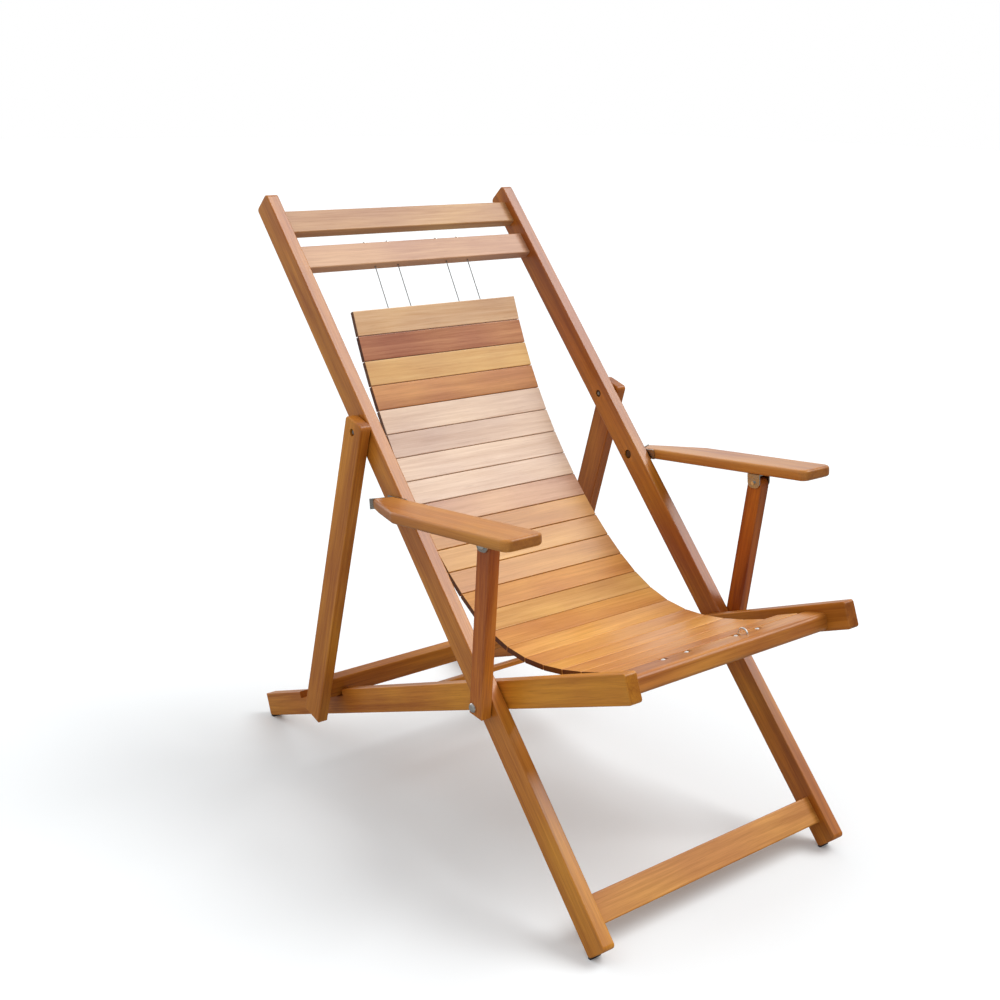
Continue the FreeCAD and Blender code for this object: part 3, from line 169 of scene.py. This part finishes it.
# The camera's yaw, pitch and roll are in degrees, and its lens and sensor in millimetres.
CAMERA_PLACE = (-1.3985, -1.6949, 1.1803)
CAMERA_TURNS = (38.626, 17.187, 0.997)
CAMERA_LENS = 48.76
CAMERA_SENSOR = 36.0
CAMERA_SHIFT = (-0.0094, 0.0127)

# The key light shines from here, and is this many degrees wide.
KEY_FROM = (0.53, -0.31, 0.79)
KEY_WIDTH = 38.0

# The room is brighter on the camera's left. Reflections see a bright backdrop behind the chair,
# which fades over its edge, and the rest of the room dimmer.
SIDE_LIGHT = (-0.8, 0.6, 0.0)
SIDE_FACTORS = (0.45, 1.55)
BACKDROP = (0.62, 0.78, 0.0)
BACKDROP_EDGE = (0.2, 0.95)
BACKDROP_FACTORS = (0.4, 2.0)
FLOOR_WIDTH = 60.0
FLOOR_ROUGHNESS = 0.9
WHITE = (1.0, 1.0, 1.0, 1.0)


# Settings shown in the sidebar


class TimberSettings(bpy.types.PropertyGroup):
    """Colours of the frame's timber and its varnish."""

    light: bpy.props.FloatVectorProperty(
        name="Light Wood", description="Colour of the pale growth in the frame's timber",
        subtype="COLOR", size=3, min=0.0, max=1.0, default=(0.67, 0.262, 0.026))
    dark: bpy.props.FloatVectorProperty(
        name="Dark Wood", description="Colour of the dark growth in the frame's timber",
        subtype="COLOR", size=3, min=0.0, max=1.0, default=(0.38, 0.115, 0.008))
    gloss: bpy.props.FloatProperty(
        name="Varnish", description="How much varnish lies on the wood",
        subtype="FACTOR", min=0.0, max=1.0, default=0.38)


class CableSettings(bpy.types.PropertyGroup):
    """Sizes of the steel cables."""

    radius: bpy.props.FloatProperty(
        name="Cable Radius", description="Radius of a steel cable",
        unit="LENGTH", min=0.0003, max=0.004, default=0.0009)
    lay: bpy.props.FloatProperty(
        name="Lay", description="Length of one turn of the strands",
        unit="LENGTH", min=0.003, max=0.05, default=0.011)


class StageSettings(bpy.types.PropertyGroup):
    """The studio floor and its light."""

    floor: bpy.props.FloatVectorProperty(
        name="Floor", description="Colour of the studio floor",
        subtype="COLOR", size=3, min=0.0, max=1.0, default=(0.913, 0.938, 0.952))
    bounce: bpy.props.FloatVectorProperty(
        name="Floor Bounce", description="Colour of the light that the floor throws back",
        subtype="COLOR", size=3, min=0.0, max=1.0, default=(0.44, 0.46, 0.48))
    mirrored: bpy.props.FloatVectorProperty(
        name="Floor In Reflections", description="Colour of the floor as the varnish mirrors it",
        subtype="COLOR", size=3, min=0.0, max=1.0, default=(0.25, 0.245, 0.235))
    key_power: bpy.props.FloatProperty(
        name="Key Light", description="Strength of the large soft light",
        min=0.0, max=20.0, default=1.75)
    sky_low: bpy.props.FloatProperty(
        name="Low Light", description="Strength of the room's light at the horizon",
        min=0.0, max=5.0, default=0.5)
    sky_high: bpy.props.FloatProperty(
        name="High Light", description="Strength of the room's light overhead",
        min=0.0, max=5.0, default=0.92)


# Materials


def feed(tree, node, inputs):
    """Sets a node's inputs, each to a number, a colour or another node's output."""
    for name, value in inputs.items():
        if isinstance(value, bpy.types.NodeSocket):
            tree.links.new(value, node.inputs[name])
        else:
            node.inputs[name].default_value = value


def add_node(tree, kind, inputs, **settings):
    """A node with its settings, and its inputs fed."""
    node = tree.nodes.new(kind)
    for name, value in settings.items():
        setattr(node, name, value)
    feed(tree, node, inputs)
    return node


def calculate(tree, kind, first, second=0.0):
    """One step of arithmetic."""
    node = add_node(tree, "ShaderNodeMath", {0: first, 1: second}, operation=kind)
    return node.outputs["Value"]


def map_range(tree, value, low, high, to_low=0.0, to_high=1.0):
    """Takes the range from low to high to another one."""
    node = add_node(tree, "ShaderNodeMapRange", {
        "Value": value, "From Min": low, "From Max": high, "To Min": to_low, "To Max": to_high})
    return node.outputs["Result"]


def mix_number(tree, factor, first, second):
    """Goes from the first number to the second as the factor rises."""
    node = add_node(tree, "ShaderNodeMix", {"Factor": factor, "A": first, "B": second})
    return node.outputs["Result"]


def mix_color(tree, factor, first, second, blend="MIX"):
    """Goes from the first colour to the second, or to the two blended, as the factor rises."""
    node = add_node(tree, "ShaderNodeMix", {"Factor": factor, "A": first, "B": second},
                    data_type="RGBA", blend_type=blend)
    return node.outputs["Result"]


def facing(tree, vector, direction):
    """How far a vector points in a direction."""
    node = add_node(tree, "ShaderNodeVectorMath", {0: vector, 1: direction},
                    operation="DOT_PRODUCT")
    return node.outputs["Value"]


def bumps(tree, height, strength, distance):
    """The normals of a surface with a fine relief."""
    node = add_node(tree, "ShaderNodeBump", {
        "Height": height, "Strength": strength, "Distance": distance})
    return node.outputs["Normal"]


def new_material(name):
    """A material with a shader whose inputs are still to be fed."""
    material = bpy.data.materials.new(name)
    material.use_nodes = True
    tree = material.node_tree
    tree.nodes.clear()
    shader = tree.nodes.new("ShaderNodeBsdfPrincipled")
    add_node(tree, "ShaderNodeOutputMaterial", {"Surface": shader.outputs["BSDF"]})
    return material, tree, shader


def timber_group():
    """Timber seen along its grain, which runs along X of the vector it is given."""
    found = bpy.data.node_groups.get("Timber Figure")
    if found:
        return found
    tree = bpy.data.node_groups.new("Timber Figure", "ShaderNodeTree")
    for direction, sockets in (
            ("INPUT", {"Vector": "Vector", "Light": "Color", "Dark": "Color", "Seed": "Float"}),
            ("OUTPUT", {"Color": "Color", "Roughness": "Float", "Height": "Float"})):
        for name, kind in sockets.items():
            tree.interface.new_socket(name, in_out=direction, socket_type="NodeSocket" + kind)
    given = tree.nodes.new("NodeGroupInput")
    light, dark, seed = (given.outputs[name] for name in ("Light", "Dark", "Seed"))
    offset = add_node(tree, "ShaderNodeCombineXYZ", {
        axis: calculate(tree, "MULTIPLY", seed, stride)
        for axis, stride in zip("XYZ", SEED_STRIDES)})
    shifted = add_node(tree, "ShaderNodeVectorMath", {
        0: given.outputs["Vector"], 1: offset.outputs["Vector"]}, operation="ADD")

    def noise(along, across, detail, rough, distortion=0.0):
        """Noise with one scale along the grain and another across it."""
        stretched = add_node(tree, "ShaderNodeMapping", {
            "Vector": shifted.outputs["Vector"], "Scale": (along, across, across)})
        texture = add_node(tree, "ShaderNodeTexNoise", {
            "Vector": stretched.outputs["Vector"], "Scale": 1.0, "Detail": detail,
            "Roughness": rough, "Distortion": distortion})
        return texture.outputs["Fac"]

    # Broad growth bands, a ribbon of crossed grain, fine fibres, short dark pores and blotches.
    bands = noise(along=1.6, across=26.0, detail=3.0, rough=0.5, distortion=0.9)
    ribbon = noise(along=4.0, across=95.0, detail=5.0, rough=0.68, distortion=0.5)
    fibre = noise(along=9.0, across=420.0, detail=4.0, rough=0.75)
    pores = noise(along=30.0, across=700.0, detail=2.0, rough=0.5)
    blotch = noise(along=4.0, across=7.0, detail=2.0, rough=0.5)
    growth = calculate(tree, "ADD", map_range(tree, bands, 0.38, 0.62, 0.0, 0.45),
                       map_range(tree, ribbon, 0.36, 0.64, 0.0, 0.48))
    figure = calculate(tree, "ADD", growth, map_range(tree, fibre, 0.30, 0.70, -0.18, 0.34))
    pored = map_range(tree, pores, 0.60, 0.74, 0.0, 0.22)
    pore_color = mix_color(tree, 1.0, dark, (*PORE_TINT, 1.0), "MULTIPLY")
    aged = add_node(tree, "ShaderNodeHueSaturation", {
        "Color": mix_color(tree, pored, mix_color(tree, figure, light, dark), pore_color),
        "Value": map_range(tree, blotch, 0.3, 0.7, 0.84, 1.16),
        "Hue": map_range(tree, blotch, 0.3, 0.7, 0.490, 0.508)})
    add_node(tree, "NodeGroupOutput", {
        "Color": aged.outputs["Color"],
        "Roughness": calculate(tree, "ADD", map_range(tree, fibre, 0.3, 0.7, 0.34, 0.46),
                               calculate(tree, "MULTIPLY", pored, 0.2)),
        "Height": calculate(tree, "SUBTRACT", map_range(tree, fibre, 0.3, 0.7, 0.0, 0.5), pored)})
    return tree


def timber(name, rise, tone, seed, varnish, end_tint=END_TINT):
    """Varnished timber whose grain runs across the chair, or at a rise in the side view."""
    material, tree, shader = new_material(name)
    if rise is ACROSS:
        turn, along = (0.0, 0.0, 0.0), (1.0, 0.0, 0.0)
    else:
        slope = math.radians(rise)
        turn, along = (-slope, 0.0, -math.pi / 2), (0.0, math.cos(slope), math.sin(slope))
    place = tree.nodes.new("ShaderNodeTexCoord")
    turned = add_node(tree, "ShaderNodeMapping", {
        "Vector": place.outputs["Object"], "Rotation": turn})
    light, dark = tone
    figure = add_node(tree, "ShaderNodeGroup", {
        "Vector": turned.outputs["Vector"], "Light": (*light, 1.0), "Dark": (*dark, 1.0),
        "Seed": seed}, node_tree=timber_group())
    level = calculate(tree, "ABSOLUTE", facing(tree, place.outputs["Normal"], along))
    ends = map_range(tree, level, *CUT_END_EDGE)
    feed(tree, shader, {
        "Base Color": mix_color(tree, ends, figure.outputs["Color"], (*end_tint, 1.0), "MULTIPLY"),
        "Roughness": figure.outputs["Roughness"],
        "Normal": bumps(tree, figure.outputs["Height"], strength=0.12, distance=0.0004),
        "Specular IOR Level": 0.25,
        "Coat Weight": varnish,
        "Coat Roughness": 0.24})
    return material


def steel(name):
    """One of the steels, whose polish varies a little."""
    color, low, high, scale = STEELS[name]
    material, tree, shader = new_material(name)
    place = tree.nodes.new("ShaderNodeTexCoord")
    stretched = add_node(tree, "ShaderNodeMapping", {
        "Vector": place.outputs["Object"], "Scale": scale})
    wear = add_node(tree, "ShaderNodeTexNoise", {
        "Vector": stretched.outputs["Vector"], "Scale": 1.0, "Detail": 4.0}).outputs["Fac"]
    worn = [part * WORN_SHADE for part in color]
    feed(tree, shader, {
        "Base Color": mix_color(tree, wear, (*color, 1.0), (*worn, 1.0)),
        "Roughness": map_range(tree, wear, 0.3, 0.7, low, high),
        "Normal": bumps(tree, wear, strength=0.08, distance=0.0002),
        "Metallic": 1.0})
    return material


def rubber(name):
    """Matt black rubber with a fine moulded grain and floor dust."""
    material, tree, shader = new_material(name)
    place = tree.nodes.new("ShaderNodeTexCoord").outputs["Object"]
    grain = add_node(tree, "ShaderNodeTexNoise", {"Vector": place, "Scale": 900.0}).outputs["Fac"]
    dust = add_node(tree, "ShaderNodeTexNoise", {
        "Vector": place, "Scale": 60.0, "Detail": 5.0}).outputs["Fac"]
    feed(tree, shader, {
        "Base Color": mix_color(tree, dust, (*RUBBER_COLOR, 1.0), (*DUST_COLOR, 1.0)),
        "Roughness": 0.75,
        "Normal": bumps(tree, grain, strength=0.3, distance=0.0003)})
    return material


def finish_node(node, material):
    """Gives a construction node its material, in the object's own slots."""
    piece = frame["nodes"][node]
    if not piece.material_slots:
        piece.data.materials.append(material)
    for slot in piece.material_slots:
        slot.link = "OBJECT"
        slot.material = material


# Modelling helpers


def deselect_everything():
    if bpy.context.mode != "OBJECT":
        bpy.ops.object.mode_set(mode="OBJECT")
    bpy.ops.object.select_all(action="DESELECT")


def settle(piece):
    """Puts a piece's place into its mesh."""
    deselect_everything()
    piece.select_set(True)
    bpy.context.view_layer.objects.active = piece
    bpy.ops.object.transform_apply(location=True, rotation=True, scale=True)


def join_pieces(pieces, name):
    """Makes several pieces one, under a name."""
    deselect_everything()
    for piece in pieces:
        piece.select_set(True)
    bpy.context.view_layer.objects.active = pieces[0]
    bpy.ops.object.join()
    joined = bpy.context.view_layer.objects.active
    joined.name = name
    joined.data.name = name
    return joined


def strand(start, end, radius, lay):
    """A length of cable: six lobes twisted about its middle, from start to end."""
    deselect_everything()
    run = end - start
    bpy.ops.mesh.primitive_circle_add(vertices=CABLE_CORNERS, radius=radius, fill_type="NGON")
    piece = bpy.context.view_layer.objects.active
    for index, vertex in enumerate(piece.data.vertices):
        if index % GROOVE_SPACING == 0:
            vertex.co = vertex.co * GROOVE_FACTOR
    turns, steps = 0, STRAIGHT_STEPS
    if run.length > LEAST_TURNS * lay:
        turns = round(run.length / lay)
        steps = turns * STEPS_PER_TURN
    screw = piece.modifiers.new("Lay", "SCREW")
    screw.axis = "Z"
    screw.angle = turns * 2 * math.pi
    screw.screw_offset = run.length
    screw.steps = steps
    screw.render_steps = steps
    screw.use_smooth_shade = True
    bpy.ops.object.modifier_apply(modifier=screw.name)
    turn = run.to_track_quat("Z", "Y").to_matrix().to_4x4()
    piece.matrix_world = Matrix.Translation(start) @ turn
    settle(piece)
    return piece


def lowest_and_highest(node):
    """The corners of the box round a construction node."""
    low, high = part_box(node)
    return Vector(low), Vector(high)


def slat_ends(name):
    """The upper and lower edges of a slat in the side view, at the middle of its thickness."""
    places = [vertex.co for vertex in frame["nodes"][name].data.vertices]
    middle_y = sum(place.y for place in places) / len(places)
    middle_z = sum(place.z for place in places) / len(places)
    spread_y = sum((place.y - middle_y) ** 2 for place in places)
    spread_z = sum((place.z - middle_z) ** 2 for place in places)
    shared = sum((place.y - middle_y) * (place.z - middle_z) for place in places)
    slope = math.atan2(2.0 * shared, spread_y - spread_z) / 2.0
    along = Vector((0.0, math.cos(slope), math.sin(slope)))
    reaches = [place.y * along.y + place.z * along.z for place in places]
    centre = Vector((0.0, middle_y, middle_z))
    middle = centre.dot(along)
    ends = [centre + along * (min(reaches) - middle), centre + along * (max(reaches) - middle)]
    return sorted(ends, key=lambda end: end.y, reverse=True)


def curtain_bends():
    """Where the cables bend, in the side view: at the cable bar, at the top of each slat, and at
    the lower edge of the last slat."""
    top = next(joint["pos_m"] for joint in frame["joints"] if joint["name"] == "slat_hinge_01")
    bends = [Vector(top)]
    for index in range(SLAT_COUNT):
        upper, lower = slat_ends("slat_%02d" % (index + 1))
        bends.append(upper)
    bends.append(lower)
    return bends


def cable_places():
    """The four cables across the chair, from their construction nodes."""
    places = []
    for index in range(CABLE_COUNT):
        low, high = lowest_and_highest("steel_cable_%d" % (index + 1))
        places.append((low.x + high.x) / 2)
    return places


# Operators, one for each piece or group of like pieces


class CHAIR_OT_rails(bpy.types.Operator):
    """Finish the long rails, the seat rails and the prop legs"""

    bl_idname = "chair.rails"
    bl_label = "Rails"

    def execute(self, context):
        look = context.scene.chair_timber
        seed = RAIL_SEED
        for stem, rise, varnish in (("long_rail", LONG_RAIL_RISE, LONG_RAIL_GLOSS),
                                    ("seat_rail", SEAT_RAIL_RISE, look.gloss),
                                    ("prop_leg", PROP_LEG_RISE, look.gloss)):
            for side in SIDES:
                name = "%s_%s" % (stem, side)
                # The rails on the shaded side get darker, redder tones, which are painted shade.
                tone = PAINTED_SHADE_RAIL_TONES[stem] if side == SHADED_SIDE else (look.light, look.dark)
                finish_node(name, timber(name + "_timber", rise, tone, seed, varnish))
                seed += 1.0
        return {"FINISHED"}


class CHAIR_OT_crossbars(bpy.types.Operator):
    """Finish all the bars that run across the chair"""

    bl_idname = "chair.crossbars"
    bl_label = "Crossbars"

    def execute(self, context):
        look = context.scene.chair_timber
        for number, name in enumerate((*CROSSBAR_TONES, *PLAIN_BARS)):
            tone = CROSSBAR_TONES.get(name, (look.light, look.dark))
            seed = CROSSBAR_SEED + number
            finish_node(name, timber(name + "_timber", ACROSS, tone, seed, look.gloss))
        return {"FINISHED"}


class CHAIR_OT_arms(bpy.types.Operator):
    """Finish the arms and their posts"""

    bl_idname = "chair.arms"
    bl_label = "Arms And Posts"

    def execute(self, context):
        gloss = context.scene.chair_timber.gloss
        for number, side in enumerate(SIDES):
            finish_node("arm_" + side, timber("arm_timber_" + side, ARM_RISE, ARM_TONE,
                                              ARM_SEED + number, gloss))
            # The right post's tone carries painted shade.
            finish_node("arm_post_" + side, timber("post_timber_" + side, POST_RISE,
                                                   POST_TONES_WITH_PAINTED_SHADE[side], POST_SEED + number, gloss))
        return {"FINISHED"}


class CHAIR_OT_slats(bpy.types.Operator):
    """Finish the slats, each in the tone of its own board; the cream slats also carry a painted
    sheen
    """

    bl_idname = "chair.slats"
    bl_label = "Slats"

    def execute(self, context):
        gloss = context.scene.chair_timber.gloss
        for index, board in enumerate(SLAT_BOARDS):
            name = "slat_%02d" % (index + 1)
            seed = SLAT_SEED + index * SLAT_SEED_STEP
            finish_node(name, timber(name + "_timber", ACROSS, BOARD_TONES[board], seed, gloss,
                                     SLAT_END_TINT))
        return {"FINISHED"}


class CHAIR_OT_fittings(bpy.types.Operator):
    """Finish the bolts, nuts, washers and brackets"""

    bl_idname = "chair.fittings"
    bl_label = "Steel Fittings"

    def execute(self, context):
        for finish, names in FITTINGS.items():
            metal = steel(finish)
            for name in names:
                finish_node(name, metal)
        return {"FINISHED"}


class CHAIR_OT_cables(bpy.types.Operator):
    """Make the four steel cables in lengths that follow the slats"""

    bl_idname = "chair.cables"
    bl_label = "Steel Cables"

    def execute(self, context):
        size = context.scene.chair_cables
        finish = steel("cable_steel")
        bends = curtain_bends()
        places = cable_places()

        def lengths(name, runs, body):
            """Makes the same lengths of all four cables, and lets them ride on a body."""
            pieces = []
            for x in places:
                for start, end in runs:
                    start = Vector((x, start.y, start.z))
                    end = Vector((x, end.y, end.z))
                    pieces.append(strand(start, end, size.radius, size.lay))
            piece = join_pieces(pieces, name)
            piece.data.materials.append(finish)
            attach(piece, body)
            return piece

        high = lowest_and_highest("steel_cable_1")[1]
        upper = Vector((0.0, high.y - size.radius, high.z - size.radius))
        top = lengths("cable_tops", [(bends[0], upper)], "long_frame")
        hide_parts("steel_cable_1", "steel_cable_2", "steel_cable_3", "steel_cable_4")
        lengths("cable_hangers", [(bends[0], bends[1]), (bends[1], bends[2])], "slat_01_body")
        for index in range(1, SLAT_COUNT):
            name = "cable_lengths_%02d" % (index + 1)
            lengths(name, [(bends[index + 1], bends[index + 2])], "slat_%02d_body" % (index + 1))
        bead_low, bead_high = lowest_and_highest("cable_beads")
        lengths("cable_ends", [(bends[-1], (bead_low + bead_high) / 2)], "seat_frame")
        return {"FINISHED"}


class CHAIR_OT_pads(bpy.types.Operator):
    """Finish the rubber pads under the feet"""

    bl_idname = "chair.pads"
    bl_label = "Rubber Pads"

    def execute(self, context):
        finish = rubber("foot_rubber")
        for name in ("front_foot_pads", "rear_foot_pads"):
            finish_node(name, finish)
        return {"FINISHED"}


class CHAIR_OT_stage(bpy.types.Operator):
    """Set the floor, the soft lights and the camera"""

    bl_idname = "chair.stage"
    bl_label = "Studio"

    def execute(self, context):
        look = context.scene.chair_stage
        self.floor(context, look)
        self.room(context.scene, look)
        self.key(context.scene, look.key_power)
        self.camera(context.scene)
        context.scene.view_settings.view_transform = "Standard"
        return {"FINISHED"}

    def floor(self, context, look):
        """A wide floor, which is paler to the camera than in its bounce and in the varnish."""
        deselect_everything()
        bpy.ops.mesh.primitive_plane_add(size=FLOOR_WIDTH, location=(0.0, 0.0, 0.0))
        floor = context.view_layer.objects.active
        floor.name = "studio_floor"
        material, tree, shader = new_material("studio_floor")
        path = tree.nodes.new("ShaderNodeLightPath")
        seen = mix_color(tree, path.outputs["Is Camera Ray"], (*look.bounce, 1.0),
                         (*look.floor, 1.0))
        color = mix_color(tree, path.outputs["Is Glossy Ray"], seen, (*look.mirrored, 1.0))
        feed(tree, shader, {
            "Base Color": color, "Roughness": FLOOR_ROUGHNESS, "Specular IOR Level": 0.0})
        floor.data.materials.append(material)

    def room(self, scene, look):
        """Soft light from all round, stronger overhead and on the camera's left, with plain white
        behind the chair. Reflections see the backdrop brighter and the rest dimmer."""
        scene.world = bpy.data.worlds.new("studio")
        scene.world.use_nodes = True
        tree = scene.world.node_tree
        toward = tree.nodes.new("ShaderNodeTexCoord").outputs["Generated"]
        path = tree.nodes.new("ShaderNodeLightPath")
        height = add_node(tree, "ShaderNodeSeparateXYZ", {"Vector": toward}).outputs["Z"]
        rise = map_range(tree, height, 0.0, 1.0, look.sky_low, look.sky_high)
        swing = map_range(tree, facing(tree, toward, SIDE_LIGHT), -1.0, 1.0, *SIDE_FACTORS)
        sheen = map_range(tree, facing(tree, toward, BACKDROP), *BACKDROP_EDGE, *BACKDROP_FACTORS)
        mirrored = mix_number(tree, path.outputs["Is Glossy Ray"], 1.0, sheen)
        both = calculate(tree, "MULTIPLY", rise, swing)
        dimmed = calculate(tree, "MULTIPLY", both, mirrored)
        seen = mix_number(tree, path.outputs["Is Camera Ray"], dimmed, 1.0)
        feed(tree, tree.nodes["Background"], {"Color": WHITE, "Strength": seen})

    def key(self, scene, strength):
        """A broad light from above on the right, so that the shadow falls softly to the left."""
        light = bpy.data.lights.new("key", "SUN")
        light.angle = math.radians(KEY_WIDTH)
        light.energy = strength
        holder = bpy.data.objects.new("key", light)
        scene.collection.objects.link(holder)
        holder.rotation_mode = "QUATERNION"
        holder.rotation_quaternion = Vector(KEY_FROM).to_track_quat("Z", "Y")

    def camera(self, scene):
        """A camera that looks at the chair from the front and above."""
        optics = bpy.data.cameras.new("camera")
        optics.sensor_width = CAMERA_SENSOR
        optics.lens = CAMERA_LENS
        optics.shift_x, optics.shift_y = CAMERA_SHIFT
        holder = bpy.data.objects.new("camera", optics)
        scene.collection.objects.link(holder)
        yaw, pitch, roll = (math.radians(angle) for angle in CAMERA_TURNS)
        ahead = Vector((math.sin(yaw) * math.cos(pitch), math.cos(yaw) * math.cos(pitch),
                        -math.sin(pitch)))
        right = Vector((math.cos(yaw), -math.sin(yaw), 0.0))
        up = right.cross(ahead)
        axes = Matrix((right * math.cos(roll) + up * math.sin(roll),
                       up * math.cos(roll) - right * math.sin(roll), -ahead)).transposed()
        holder.matrix_world = Matrix.Translation(CAMERA_PLACE) @ axes.to_4x4()
        scene.camera = holder


class CHAIR_PT_panel(bpy.types.Panel):
    """Lists the steps that finish the chair"""

    bl_idname = "CHAIR_PT_panel"
    bl_label = "Deck Chair"
    bl_space_type = "VIEW_3D"
    bl_region_type = "UI"
    bl_category = "Deck Chair"

    def draw(self, context):
        scene = context.scene
        for settings, names in ((scene.chair_timber, ("light", "dark", "gloss")),
                                (scene.chair_cables, ("radius", "lay")),
                                (scene.chair_stage, ("floor", "bounce", "mirrored", "key_power",
                                                     "sky_low", "sky_high"))):
            for name in names:
                self.layout.prop(settings, name)
        for step in STEPS:
            self.layout.operator(step.bl_idname)


STEPS = (CHAIR_OT_rails, CHAIR_OT_crossbars, CHAIR_OT_arms, CHAIR_OT_slats, CHAIR_OT_fittings,
         CHAIR_OT_cables, CHAIR_OT_pads, CHAIR_OT_stage)
CLASSES = (TimberSettings, CableSettings, StageSettings, CHAIR_PT_panel) + STEPS


def register():
    for item in CLASSES:
        bpy.utils.register_class(item)
    bpy.types.Scene.chair_timber = bpy.props.PointerProperty(type=TimberSettings)
    bpy.types.Scene.chair_cables = bpy.props.PointerProperty(type=CableSettings)
    bpy.types.Scene.chair_stage = bpy.props.PointerProperty(type=StageSettings)


def unregister():
    del bpy.types.Scene.chair_stage
    del bpy.types.Scene.chair_cables
    del bpy.types.Scene.chair_timber
    for item in reversed(CLASSES):
        bpy.utils.unregister_class(item)


def main():
    register()
    bpy.ops.chair.rails()
    bpy.ops.chair.crossbars()
    bpy.ops.chair.arms()
    bpy.ops.chair.slats()
    bpy.ops.chair.fittings()
    bpy.ops.chair.cables()
    bpy.ops.chair.pads()
    bpy.ops.chair.stage()


if __name__ == "__main__":
    main()
